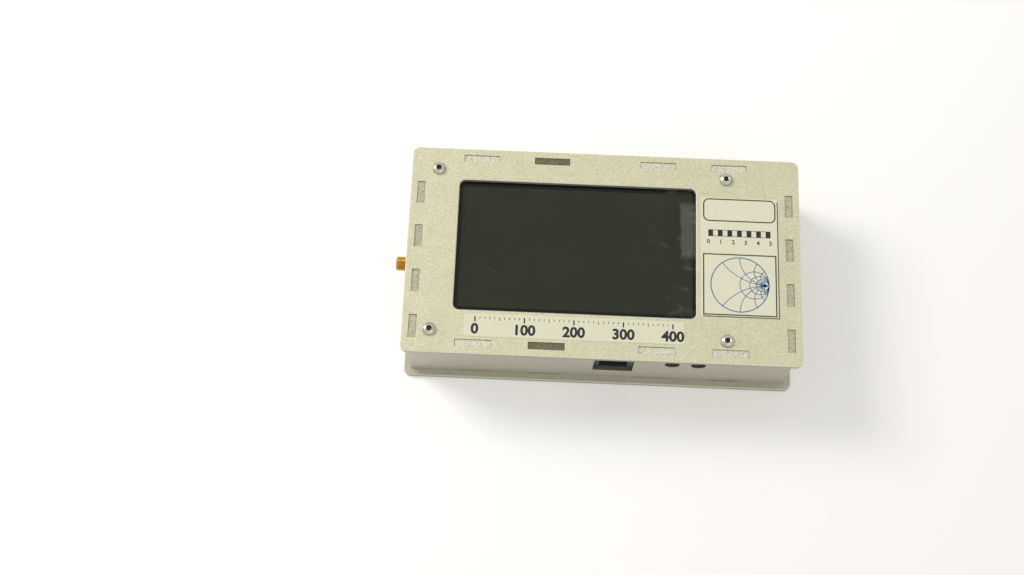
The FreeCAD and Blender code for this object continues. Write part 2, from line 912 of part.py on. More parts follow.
def coax_jack():
    """The coaxial jack's body: threaded barrel, square flange and the legs that grip the board."""
    inner_face = -wall_inner_x
    barrel = along_x(0, coax_z, (inner_face - coax_thread_reach, coax_nut_x[0]), coax_thread_radius)
    neck = along_x(0, coax_z, (coax_nut_x[0], inner_face), coax_thread_radius - coax_neck_relief)
    flange_x = (inner_face, inner_face + coax_flange_thickness)
    flange = box(flange_x, about(0, coax_flange_width), about(coax_z, coax_flange_width))
    leg_x = (flange_x[1], flange_x[1] + coax_leg_length)
    reach = coax_flange_width / 2
    legs = []
    for side in (-1, 1):
        y_range = sorted((side * reach, side * (reach - coax_leg_width)))
        legs.append(box(leg_x, y_range, (coax_z - reach, rf_board_bottom)))
        legs.append(box(leg_x, y_range, (rf_board_top, rf_board_top + coax_leg_width)))
    bore = along_x(0, coax_z, (inner_face - coax_thread_reach, flange_x[1]), coax_dielectric_radius)
    return barrel.fuse([neck, flange] + legs).removeSplitter().cut(bore)


def coax_insulator():
    """The dielectric sleeve in the coaxial jack."""
    x_range = (-wall_inner_x - coax_thread_reach, -wall_inner_x + coax_flange_thickness)
    outside = along_x(0, coax_z, x_range, coax_dielectric_radius)
    return outside.cut(along_x(0, coax_z, x_range, coax_contact_radius))


def coax_contact():
    """The centre contact, hollow at its mouth, with a tail that lies on the board."""
    mouth = -wall_inner_x - coax_thread_reach
    rod = along_x(0, coax_z, (mouth, rf_board_x[0] + coax_tail_length), coax_contact_radius)
    return rod.cut(along_x(0, coax_z, (mouth, mouth + coax_contact_bore_depth), coax_contact_bore_radius))


def coax_washer():
    """The washer between the left wall and the nut."""
    x_range = (coax_nut_x[1], -wall_outer_x)
    hole = along_x(0, coax_z, x_range, coax_thread_radius + thread_clearance)
    return along_x(0, coax_z, x_range, coax_washer_radius).cut(hole)


def coax_nut():
    """The hexagonal nut that clamps the coaxial jack to the left wall."""
    bar = hexagon(0, 0, (0, coax_nut_thickness), coax_nut_width)
    bar.rotate(V(0, 0, 0), V(0, 1, 0), 90)
    bar.translate(V(coax_nut_x[0], 0, coax_z))
    neck_radius = coax_thread_radius - coax_neck_relief
    return bar.cut(along_x(0, coax_z, coax_nut_x, neck_radius + thread_clearance))


def support_places():
    """The four supports of the power board."""
    x_places = (power_board_x[0] + support_left_inset, power_board_x[1] - support_inset)
    reach = power_board_depth / 2 - support_inset
    return [(x, side * reach) for x in x_places for side in (-1, 1)]


def power_board():
    """The small board that carries the charger, the switch and the battery plug."""
    z_range = (power_board_bottom, power_board_top)
    board = box(power_board_x, about(0, power_board_depth), z_range)
    return board.cut([upright(x, y, z_range, support_pin_radius + support_pin_clearance) for x, y in support_places()])


def board_supports():
    """Four moulded supports that stand on the base plate and snap through the power board."""
    made = []
    for x, y in support_places():
        foot = upright(x, y, (plate_thickness, power_board_bottom), support_radius)
        pin = upright(x, y, (power_board_bottom, power_board_top + support_pin_proud), support_pin_radius)
        made.append(foot.fuse(pin))
    return made


def switch_front():
    """The X of the power switch's front face."""
    return power_board_x[0] + switch_board_inset


def slider_foot_range(clearance):
    """The X range of the slider's foot inside the switch."""
    front = switch_front() + slider_foot_front
    return widened((front, front + slider_foot_length), clearance)


def power_switch():
    """The slide switch's body, hollow for the foot of the slider."""
    z_range = (power_board_top, power_board_top + switch_height)
    x_range = (switch_front(), switch_front() + switch_depth)
    body = box(x_range, about(switch_y, switch_width), z_range)
    stem_space = box((x_range[0], slider_foot_range(0)[1]), *slider_window(slider_clearance / 2))
    foot_y = widened(about(switch_y, slider_travel + slider_foot_width), slider_clearance)
    foot_z = widened(about(power_board_top + switch_height / 2, slider_foot_height), slider_clearance / 2)
    foot_space = box(slider_foot_range(slider_clearance / 2), foot_y, foot_z)
    return body.cut([stem_space, foot_space])


def power_slider():
    """The slider at its off end: a stem through the left wall and a foot inside the switch."""
    middle_y = switch_y - slider_travel / 2
    middle_z = power_board_top + switch_height / 2
    tip = -wall_outer_x - slider_proud
    stem = box((tip, slider_foot_range(0)[1]), about(middle_y, slider_width), about(middle_z, slider_height))
    foot = box(slider_foot_range(0), about(middle_y, slider_foot_width), about(middle_z, slider_foot_height))
    return stem.fuse(foot).removeSplitter()


def charger_chip():
    """The charging chip on the power board."""
    left = power_board_x[0] + charger_offset
    z_range = (power_board_top, power_board_top + charger_height)
    return box(about(left, charger_length), about(charge_usb_y, charger_width), z_range)


def charge_lamp():
    """The charging lamp at the board's left edge, behind its hole in the wall."""
    x_range = (power_board_x[0], power_board_x[0] + lamp_width)
    return box(x_range, about(lamp_y, lamp_width), (power_board_top, power_board_top + lamp_height))


def battery_plug():
    """The battery's plug and its header on the power board."""
    right = power_board_x[1] - plug_inset
    z_range = (power_board_top, power_board_top + plug_height)
    return box((right - plug_length, right), about(0, plug_width), z_range)


def battery_range():
    """The battery's X range."""
    left = power_board_x[1] + battery_gap
    return (left, left + battery_length)


def battery_pack():
    """The flat battery, with rounded upright edges."""
    return rounded_box(battery_range(), about(0, battery_depth), battery_levels(), battery_corner_radius)


def battery_levels():
    """The battery's Z range, from its pad up to its gaps below the network jack and the header pins."""
    pin_tips = rf_board_bottom - header_pin_tail
    top = min(network_bottom - battery_jack_gap, pin_tips - battery_pin_gap)
    return (plate_thickness + battery_pad_thickness, top)


def battery_pad():
    """The adhesive pad that holds the battery on the base plate."""
    x_range = widened(battery_range(), -battery_pad_inset)
    y_range = about(0, battery_depth - 2 * battery_pad_inset)
    return box(x_range, y_range, (plate_thickness, plate_thickness + battery_pad_thickness))


def tube(points, radius, name):
    """A round lead along straight runs joined by arcs, each as large as its two runs allow."""
    edges = []
    at = points[0]
    for before, corner, after in zip(points, points[1:], points[2:]):
        come = corner - before
        go = after - corner
        back = 0.45 * min(come.Length, go.Length)
        turn = come.getAngle(go)
        print(f"{name}: bend radius {back / math.tan(turn / 2):.1f} mm")
        start = corner - V(come).normalize() * back
        end = corner + V(go).normalize() * back
        middle = (start + end) * 0.5
        bisector = V(corner - middle).normalize()
        bend_radius = back / math.tan(turn / 2)
        sagitta = bend_radius * (1 - math.cos(turn / 2))
        edges.append(Part.LineSegment(at, start).toShape())
        edges.append(Part.Arc(start, middle + bisector * sagitta, end).toShape())
        at = end
    edges.append(Part.LineSegment(at, points[-1]).toShape())
    path = Part.Wire(edges)
    ring = Part.Wire([Part.makeCircle(radius, points[0], points[1] - points[0])])
    lead = path.makePipeShell([ring], True, False)
    expected = math.pi * radius**2 * path.Length
    print(f"{name}: volume {lead.Volume:.2f} mm3 of {expected:.2f} expected")
    return lead


def battery_leads():
    """The two leads from the battery's left end up to the plug."""
    start_x = battery_range()[0]
    end_x = power_board_x[1] - plug_inset
    start_z = sum(battery_levels()) / 2
    end_z = power_board_top + plug_height / 2
    made = []
    for side in (-1, 1):
        y = side * lead_pitch / 2
        points = [
            V(start_x, y, start_z),
            V(start_x - lead_first_run, y, start_z),
            V(end_x + lead_first_run, y, end_z),
            V(end_x, y, end_z),
        ]
        made.append(tube(points, lead_radius, "battery_leads"))
    return made


def supply_leads():
    """The two leads from the power board up past the radio board to the display board."""
    base = rf_board_depth / 2 + supply_lead_board_gap
    made = []
    for i in range(2):
        x = power_board_x[0] + supply_lead_offset + i * lead_pitch
        points = [
            V(x, base, power_board_top),
            V(x, base, power_board_top + supply_lead_foot),
            V(x, base + supply_lead_bow, (power_board_top + board_bottom) / 2),
            V(x, base, board_bottom - supply_lead_foot),
            V(x, base, board_bottom),
        ]
        made.append(tube(points, lead_radius, "supply_leads"))
    return made


def write_case():
    """Writes the plates, walls, fasteners and labels."""
    keep("bottom_plate", bottom_plate())
    keep("top_panel", top_panel())
    keep("front_wall", front_wall())
    keep("rear_wall", rear_wall())
    keep("left_wall", left_wall())
    keep("right_wall", end_wall(1))
    keep("panel_screws", *panel_screws())
    keep("bottom_screws", *bottom_screws())
    keep("standoffs", *standoffs())
    keep("spacer_sleeves", *spacer_sleeves())
    keep("side_label", side_label())
    keep("title_label", title_label())


def write_display():
    """Writes the display stack and the display board with what it carries."""
    keep("window_gasket", window_gasket())
    keep("touch_glass", touch_glass())
    keep("lcd_screen", screen_block())
    keep("lcd_tray", lcd_tray())
    keep("display_pads", *display_pads())
    keep("display_flex", display_flex())
    keep("flex_connector", flex_connector())
    keep("display_board", display_board())
    keep("processor", processor())
    keep("board_chips", *board_chips())


def write_sockets():
    """Writes the jacks, sockets, switches and the memory card on the display board."""
    keep("network_shell", network_shell())
    keep("network_insert", network_insert())
    keep("network_leds", *network_led_boxes())
    keep("network_contacts", *network_contacts())
    for name, x in zip(("audio_jack_right", "audio_jack_left"), audio_places):
        keep(name, audio_jack(x))
    usb_mouth = wall_outer_y - usb_recess
    keep("data_usb_socket", usb_socket(data_usb_x, usb_mouth, board_bottom - usb_height, 180))
    keep("card_socket", card_socket())
    keep("memory_card", memory_card())
    for name, x in zip(("reset", "user"), press_places):
        keep(f"{name}_switch", press_switch(x))
        keep(f"{name}_plunger", plunger(x))


def write_radio():
    """Writes the radio board, its headers and the coaxial jack."""
    keep("header_sockets", *header_sockets())
    keep("header_strips", *header_strips())
    keep("header_pins", *header_pins())
    keep("rf_board", rf_board())
    keep("rf_shield", rf_shield())
    keep("rf_chips", *rf_chips())
    keep("rf_crystal", rf_crystal())
    keep("coax_jack", coax_jack())
    keep("coax_insulator", coax_insulator())
    keep("coax_contact", coax_contact())
    keep("coax_washer", coax_washer())
    keep("coax_nut", coax_nut())


def write_power():
    """Writes the power board, its parts, the battery and the leads."""
    keep("power_board", power_board())
    keep("board_supports", *board_supports())
    keep("charge_usb_socket", usb_socket(-wall_outer_x + usb_recess, charge_usb_y, power_board_top, -90))
    keep("power_switch", power_switch())
    keep("power_slider", power_slider())
    keep("charger_chip", charger_chip())
    keep("charge_lamp", charge_lamp())
    keep("battery_plug", battery_plug())
    keep("battery_pack", battery_pack())
    keep("battery_pad", battery_pad())
    keep("battery_leads", *battery_leads())
    keep("supply_leads", *supply_leads())


def main():
    """Writes every node of the instrument."""
    os.makedirs("parts", exist_ok=True)
    write_case()
    write_display()
    write_sockets()
    write_radio()
    write_power()


main()
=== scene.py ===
"""Dresses a handheld antenna analyzer: a slotted aluminium case with a screen, printed films and sockets.

Lengths are in metres unless a name ends in _mm. +X runs along the case, +Y to its far side and +Z out
of the screen. In a finish, a pair of numbers is where a smooth step starts and where it ends, tones are
shares of the finish's colour, and the rough_ values are what each noise adds to the roughness, with
rough_middle as what they add on the average.
"""

from __future__ import annotations

import logging
import math
from dataclasses import dataclass, field
from enum import Enum

import bmesh
import bpy
import numpy as np
from mathutils import Euler, Matrix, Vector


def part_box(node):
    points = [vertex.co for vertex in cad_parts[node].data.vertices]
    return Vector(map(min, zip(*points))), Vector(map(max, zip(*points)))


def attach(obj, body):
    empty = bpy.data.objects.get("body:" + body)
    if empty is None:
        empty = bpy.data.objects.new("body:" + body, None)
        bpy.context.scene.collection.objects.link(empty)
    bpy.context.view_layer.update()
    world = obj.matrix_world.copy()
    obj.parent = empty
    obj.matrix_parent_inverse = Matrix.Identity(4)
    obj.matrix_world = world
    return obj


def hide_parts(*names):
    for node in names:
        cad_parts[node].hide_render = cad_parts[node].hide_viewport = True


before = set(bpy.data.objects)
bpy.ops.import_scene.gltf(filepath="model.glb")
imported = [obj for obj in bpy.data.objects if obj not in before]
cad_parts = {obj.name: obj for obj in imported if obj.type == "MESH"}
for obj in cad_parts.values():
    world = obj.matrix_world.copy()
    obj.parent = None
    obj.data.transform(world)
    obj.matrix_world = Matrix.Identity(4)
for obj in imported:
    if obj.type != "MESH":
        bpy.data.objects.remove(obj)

Colour = tuple[float, float, float]
Triple = tuple[float, float, float]
Span = tuple[float, float]
Point = tuple[float, float]
Shell = tuple[np.ndarray, list]

LOG = logging.getLogger("analyzer")
MM = 0.001
BODY = "case"

# Points nearer than this are merged, and neighbouring faces within this angle become one.
MERGE_DISTANCE = 0.001 * MM
FLAT_ANGLE = math.radians(1)

# Edges that turn by more than this stay sharp on a new mesh.
SMOOTH_ANGLE = math.radians(35)

# Edges that turn by more than this are rounded on a copy of a CAD node.
EDGE_ANGLE = math.radians(40)

# A printed line's corner reaches out by its half width divided by this at the most.
SHARPEST_MITRE = 0.3

# The points on each rounded corner of a printed box.
CORNER_POINTS = 7

# The number and the lengths of the waves that make up torn metal's height.
WAVES = 8
WAVE_LENGTHS_MM = (0.35, 1.3)


def srgb(red: int, green: int, blue: int) -> Colour:
    """Turns a display colour into linear values.

    The display's curve is a straight run up to 0.04045, and a power of 2.4 above it.

    Args:
        red: The red channel, 0 to 255.
        green: The green channel.
        blue: The blue channel.

    Returns:
        The three channels, 0 to 1.
    """
    shares = np.array((red, green, blue)) / 255
    linear = np.where(shares <= 0.04045, shares / 12.92, ((shares + 0.055) / 1.055) ** 2.4)
    return tuple(float(value) for value in linear)


def varied(colour: Colour, share: float) -> Colour:
    """Returns a colour made lighter or darker by a share."""
    return tuple(min(1.0, value * share) for value in colour)


class Wire:
    """A node's output, on which Python operators add Math nodes."""

    def __init__(self, shader: Nodes, socket: bpy.types.NodeSocket) -> None:
        """Keeps the output and the nodes that it belongs to."""
        self.shader = shader
        self.socket = socket

    def math(self, operation: str, *others: Wire | float) -> Wire:
        """Adds one Math node.

        Args:
            operation: The Math node's operation.
            others: The inputs after this one.

        Returns:
            The result's wire.
        """
        inputs = dict(enumerate((self, *others)))
        return self.shader.node("ShaderNodeMath", {"operation": operation}, inputs)

    def __add__(self, other: Wire | float) -> Wire:
        """Adds."""
        return self.math("ADD", other)

    __radd__ = __add__

    def __mul__(self, other: Wire | float) -> Wire:
        """Multiplies."""
        return self.math("MULTIPLY", other)

    __rmul__ = __mul__

    def __sub__(self, other: Wire | float) -> Wire:
        """Subtracts."""
        return self.math("SUBTRACT", other)

    def __rsub__(self, other: float) -> Wire:
        """Subtracts this from a number."""
        return self * -1.0 + other

    def __gt__(self, other: Wire | float) -> Wire:
        """Gives 1 where this is the greater."""
        return self.math("GREATER_THAN", other)

    def __lt__(self, other: Wire | float) -> Wire:
        """Gives 1 where this is the less."""
        return self.math("LESS_THAN", other)

    def __abs__(self) -> Wire:
        """Takes the absolute value."""
        return self.math("ABSOLUTE")

    def ramp(self, low: float, high: float) -> Wire:
        """Steps smoothly from 0 to 1.

        Args:
            low: Where the step starts.
            high: Where it ends.

        Returns:
            0 below low, 1 above high, and a smooth step between them.
        """
        settings = {"interpolation_type": "SMOOTHSTEP"}
        inputs = {"Value": self, "From Min": low, "From Max": high}
        return self.shader.node("ShaderNodeMapRange", settings, inputs)


class Nodes:
    """The node tree of a material or a world."""

    def __init__(self, owner: bpy.types.Material | bpy.types.World) -> None:
        """Turns the owner's nodes on.

        Args:
            owner: The material or the world.
        """
        owner.use_nodes = True
        self.owner = owner
        self.tree = owner.node_tree

    def feed(self, target: bpy.types.NodeSocket, value: object) -> None:
        """Links a wire to a socket, or sets the socket's own value.

        Args:
            target: The socket.
            value: A wire, a number, or a tuple, which gets an alpha of 1 where the socket holds four.
        """
        if isinstance(value, Wire):
            self.tree.links.new(value.socket, target)
        elif isinstance(value, tuple) and len(value) == 3 and len(target.default_value) == 4:
            target.default_value = (*value, 1.0)
        else:
            target.default_value = value

    def node(self, kind: str, settings: dict, inputs: dict, output: str | int = 0) -> Wire:
        """Adds any node.

        Args:
            kind: The node's type.
            settings: The node's own properties, set first.
            inputs: Values or wires by socket name or number.
            output: The output that is wanted.

        Returns:
            The wanted output's wire.
        """
        made = self.tree.nodes.new(kind)
        for key, value in settings.items():
            setattr(made, key, value)
        for key, value in inputs.items():
            self.feed(made.inputs[key], value)
        return Wire(self, made.outputs[output])

    def seen(self) -> Wire:
        """Tells the rays that show things from the rays that light them.

        Returns:
            1 for rays from the camera, from gloss and from glass, and 0 for the others.
        """
        names = ("Is Camera Ray", "Is Glossy Ray", "Is Transmission Ray")
        camera, gloss, glass = (self.node("ShaderNodeLightPath", {}, {}, name) for name in names)
        return camera.math("MAXIMUM", gloss).math("MAXIMUM", glass)


class Shader(Nodes):
    """A material under construction, around one Principled BSDF."""

    def __init__(self, name: str) -> None:
        """Starts a material.

        Args:
            name: The material's name.
        """
        super().__init__(bpy.data.materials.new(name))
        self.principled = self.tree.nodes["Principled BSDF"]
        self.point = self.node("ShaderNodeTexCoord", {}, {}, "Object")

    def axes(self) -> tuple[Wire, Wire, Wire]:
        """Returns the point's X, Y and Z."""
        first = self.node("ShaderNodeSeparateXYZ", {}, {0: self.point})
        return tuple(Wire(self, output) for output in first.socket.node.outputs)

    def slope(self) -> Wire:
        """Returns how level the surface lies: 1 on flat faces above and below, 0 on upright faces."""
        normal = self.node("ShaderNodeNewGeometry", {}, {}, "True Normal")
        return abs(self.node("ShaderNodeSeparateXYZ", {}, {0: normal}, "Z"))

    def noise(self, size_mm: float, detail: float = 3.0, stretch: Triple = (1.0, 1.0, 1.0)) -> Wire:
        """Adds noise that sits still on the object.

        Args:
            size_mm: About how large its lumps are.
            detail: How many finer layers lie over them.
            stretch: Values under 1 draw the lumps out along that axis.

        Returns:
            The noise, from 0 to 1 with most of it near 0.5.
        """
        scale = tuple(value / (size_mm * MM) for value in stretch)
        point = self.node("ShaderNodeVectorMath", {"operation": "MULTIPLY"}, {0: self.point, 1: scale})
        return self.node("ShaderNodeTexNoise", {}, {"Vector": point, "Scale": 1.0, "Detail": detail})

    def cells(self, size_mm: float) -> Wire:
        """Returns the distance to scattered points that far apart, in parts of that distance."""
        inputs = {"Vector": self.point, "Scale": 1 / (size_mm * MM)}
        return self.node("ShaderNodeTexVoronoi", {}, inputs, "Distance")

    def blend(self, factor: Wire, low: Colour | Wire, high: Colour | Wire) -> Wire:
        """Returns the mix of two colours by a factor: the first at 0 and the second at 1."""
        return self.node("ShaderNodeMix", {"data_type": "RGBA"}, {0: factor, 6: low, 7: high}, 2)

    def bump(self, height: Wire, depth_mm: float, strength: float = 1.0) -> Wire:
        """Turns a height of 0 to 1 into a normal, for relief of that depth."""
        inputs = {"Height": height, "Distance": depth_mm * MM, "Strength": strength}
        return self.node("ShaderNodeBump", {}, inputs)

    def finish(self, **values: object) -> bpy.types.Material:
        """Feeds the Principled BSDF.

        Args:
            values: Values or wires by socket name, with underscores for spaces.

        Returns:
            The finished material.
        """
        for name, value in values.items():
            self.feed(self.principled.inputs[name.replace("_", " ")], value)
        return self.owner


@dataclass(frozen=True)
class Sheet:
    """A pair of upright sheets on both sides of the middle, by the axis that they are square to."""

    axis: int
    inner: float
    outer: float
    reach: float
    rim: float = 0.08 * MM

    def inside(self, shader: Shader) -> Wire:
        """Finds the sides of the openings that are cut through the sheets, where shade is painted.

        Args:
            shader: The sheets' shader.

        Returns:
            1 between the sheets' faces and 0 on their faces and ends.
        """
        axes = shader.axes()
        off = abs(axes[self.axis])
        past_inner = off.ramp(self.inner + self.rim, self.inner + 2 * self.rim)
        past_outer = off.ramp(self.outer - 2 * self.rim, self.outer - self.rim)
        short_of_end = abs(axes[1 - self.axis]) < self.reach - self.rim
        return past_inner * (1.0 - past_outer) * short_of_end


@dataclass(frozen=True)
class BlastedAluminium:
    """Bead-blasted and anodised sheet: a mottled, faintly warm metal with a fine grain."""

    name: str
    colour: Colour
    contrast: float = 0.12
    grain_mm: float = 0.62
    cloud_mm: float = 7.0
    grain_share: float = 0.85
    speckle: Span = (0.36, 0.64)
    # edge is painted shade on upright faces.
    edge: Colour = srgb(172, 170, 156)
    edge_share: float = 0.85
    edge_slope: Span = (0.1, 0.35)
    # bevel is a painted highlight on the bevels, which are also made smoother.
    bevel: Colour = srgb(228, 225, 205)
    bevel_from: Span = (0.45, 0.6)
    bevel_until: Span = (0.8, 0.95)
    bevel_polish: float = 0.1
    # cut is painted shade on the sides of the openings cut through a sheet.
    cut: Colour = srgb(118, 113, 96)
    sheet: Sheet | None = None
    metallic: float = 0.42
    roughness: float = 0.48
    rough_grain: float = 0.16
    rough_cloud: float = 0.06
    rough_middle: float = 0.1
    relief_mm: float = 0.05
    relief_strength: float = 0.7

    def make(self) -> bpy.types.Material:
        """Mottles the metal, then paints shade on its upright edges, a highlight on its bevels and shade in
        the openings cut in a sheet.

        Returns:
            The material.
        """
        shader = Shader(self.name)
        grain = shader.noise(self.grain_mm)
        cloud = shader.noise(self.cloud_mm, detail=2.0)
        mottle = (grain * self.grain_share + cloud * (1 - self.grain_share)).ramp(*self.speckle)
        face = shader.blend(
            mottle, varied(self.colour, 1 - self.contrast), varied(self.colour, 1 + self.contrast)
        )
        slope = shader.slope()
        # Painted shade on upright faces.
        upright = 1.0 - slope.ramp(*self.edge_slope)
        bevelled = slope.ramp(*self.bevel_from) * (1.0 - slope.ramp(*self.bevel_until))
        shown = shader.blend(upright * self.edge_share, face, self.edge)
        # A painted highlight on the bevels.
        shown = shader.blend(bevelled, shown, self.bevel)
        # Painted shade on the sides of the openings.
        if self.sheet is not None:
            shown = shader.blend(self.sheet.inside(shader), shown, self.cut)
        rough = grain * self.rough_grain + cloud * self.rough_cloud + (self.roughness - self.rough_middle)
        rough = rough - bevelled * self.bevel_polish
        relief = shader.bump(grain, self.relief_mm, self.relief_strength)
        return shader.finish(Base_Color=shown, Metallic=self.metallic, Roughness=rough, Normal=relief)


class CutTone(Enum):
    """How bright raw cut ends are: their light and dark flecks. The darkest tone is painted shade."""

    BRIGHT = (srgb(228, 225, 204), srgb(162, 157, 133))
    DULL = (srgb(196, 193, 167), srgb(130, 126, 104))
    # The darkest tone is painted shade, not the metal's own colour.
    STAINED = (srgb(122, 117, 92), srgb(68, 64, 45))


@dataclass(frozen=True)
class SawnMetal:
    """Raw cut ends of sheet: torn, with light and dark flecks."""

    tone: CutTone
    torn_mm: float = 0.55
    fleck_mm: float = 0.2
    torn_share: float = 0.65
    flecked: Span = (0.34, 0.56)
    metallic: float = 0.5
    roughness: float = 0.62
    light_polish: float = 0.2
    fleck_height: float = 0.5
    relief_mm: float = 0.06
    relief_strength: float = 0.7

    def make(self) -> bpy.types.Material:
        """Scatters light and dark flecks over torn metal, the light ones a little smoother.

        Returns:
            The material.
        """
        shader = Shader(f"cut_ends_{self.tone.name.lower()}")
        light, dark = self.tone.value
        torn = shader.noise(self.torn_mm, detail=5.0)
        flecks = shader.noise(self.fleck_mm)
        mask = (torn * self.torn_share + flecks * (1 - self.torn_share)).ramp(*self.flecked)
        relief = shader.bump(torn + flecks * self.fleck_height, self.relief_mm, self.relief_strength)
        return shader.finish(
            Base_Color=shader.blend(mask, dark, light),
            Metallic=self.metallic,
            Roughness=self.roughness - mask * self.light_polish,
            Normal=relief,
        )


@dataclass(frozen=True)
class TurnedMetal:
    """A bright turned or plated metal with fine marks and slightly uneven polish."""

    name: str
    colour: Colour
    roughness: float = 0.24
    mark_mm: float = 0.5
    mark_stretch: Triple = (1.0, 1.0, 0.3)
    stain_mm: float = 3.0
    stained: Span = (0.3, 0.75)
    stain_tone: float = 0.82
    rough_marks: float = 0.14
    rough_stain: float = 0.08
    rough_middle: float = 0.1
    relief_mm: float = 0.01
    relief_strength: float = 0.35

    def make(self) -> bpy.types.Material:
        """Draws fine upright marks on a metal that is darker where it is stained.

        Returns:
            The material.
        """
        shader = Shader(self.name)
        marks = shader.noise(self.mark_mm, detail=4.0, stretch=self.mark_stretch)
        stain = shader.noise(self.stain_mm, detail=2.0)
        colour = shader.blend(stain.ramp(*self.stained), self.colour, varied(self.colour, self.stain_tone))
        rough = marks * self.rough_marks + stain * self.rough_stain + (self.roughness - self.rough_middle)
        relief = shader.bump(marks, self.relief_mm, self.relief_strength)
        return shader.finish(Base_Color=colour, Metallic=1.0, Roughness=rough, Normal=relief)


@dataclass(frozen=True)
class MouldedPlastic:
    """Moulded plastic, epoxy or foam: fine grain and small changes of gloss."""

    name: str
    colour: Colour
    roughness: float = 0.45
    grain_mm: float = 0.25
    relief_mm: float = 0.015
    relief_strength: float = 0.5
    grains_per_flow: float = 18.0
    flowed: Span = (0.3, 0.7)
    tones: Span = (0.88, 1.12)
    rough_grain: float = 0.18
    rough_flow: float = 0.1
    rough_middle: float = 0.14

    def make(self) -> bpy.types.Material:
        """Clouds the colour by how the plastic flowed, and grains its surface.

        Returns:
            The material.
        """
        shader = Shader(self.name)
        grain = shader.noise(self.grain_mm, detail=4.0)
        flow = shader.noise(self.grain_mm * self.grains_per_flow, detail=2.0)
        dark, light = (varied(self.colour, tone) for tone in self.tones)
        colour = shader.blend(flow.ramp(*self.flowed), dark, light)
        rough = grain * self.rough_grain + flow * self.rough_flow + (self.roughness - self.rough_middle)
        relief = shader.bump(grain, self.relief_mm, self.relief_strength)
        return shader.finish(Base_Color=colour, Roughness=rough, Normal=relief)


@dataclass(frozen=True)
class Foam(MouldedPlastic):
    """Matt foam with a coarse grain."""

    roughness: float = 0.8
    grain_mm: float = 0.5
    relief_mm: float = 0.06


@dataclass(frozen=True)
class LabelFilm:
    """Printed polyester film, a little paler than the panel, with the metal's grain telegraphing through."""

    name: str
    colour: Colour
    grain_mm: float = 0.45
    cloud_mm: float = 7.0
    grained: Span = (0.3, 0.7)
    tones: Span = (0.93, 1.05)
    cloud_tone: float = 1.02
    cloud_share: float = 0.5
    roughness: float = 0.38
    rough_cloud: float = 0.12
    rough_middle: float = 0.06
    relief_mm: float = 0.02
    relief_strength: float = 0.35

    def make(self) -> bpy.types.Material:
        """Grains the film finely and clouds it a little.

        Returns:
            The material.
        """
        shader = Shader(self.name)
        grain = shader.noise(self.grain_mm)
        cloud = shader.noise(self.cloud_mm, detail=2.0)
        dark, light = (varied(self.colour, tone) for tone in self.tones)
        fine = shader.blend(grain.ramp(*self.grained), dark, light)
        colour = shader.blend(cloud * self.cloud_share, fine, varied(self.colour, self.cloud_tone))
        rough = cloud * self.rough_cloud + (self.roughness - self.rough_middle)
        relief = shader.bump(grain, self.relief_mm, self.relief_strength)
        return shader.finish(Base_Color=colour, Roughness=rough, Normal=relief)


@dataclass(frozen=True)
class PrintInk:
    """Printed ink with slightly uneven cover."""

    name: str
    colour: Colour
    cover_mm: float = 0.3
    thinned: Span = (0.35, 0.8)
    thin_tone: float = 1.5
    roughness: float = 0.35
    rough_cover: float = 0.2

    def make(self) -> bpy.types.Material:
        """Lightens the ink where its cover is thin.

        Returns:
            The material.
        """
        shader = Shader(self.name)
        cover = shader.noise(self.cover_mm, detail=4.0)
        colour = shader.blend(cover.ramp(*self.thinned), self.colour, varied(self.colour, self.thin_tone))
        return shader.finish(Base_Color=colour, Roughness=cover * self.rough_cover + self.roughness)


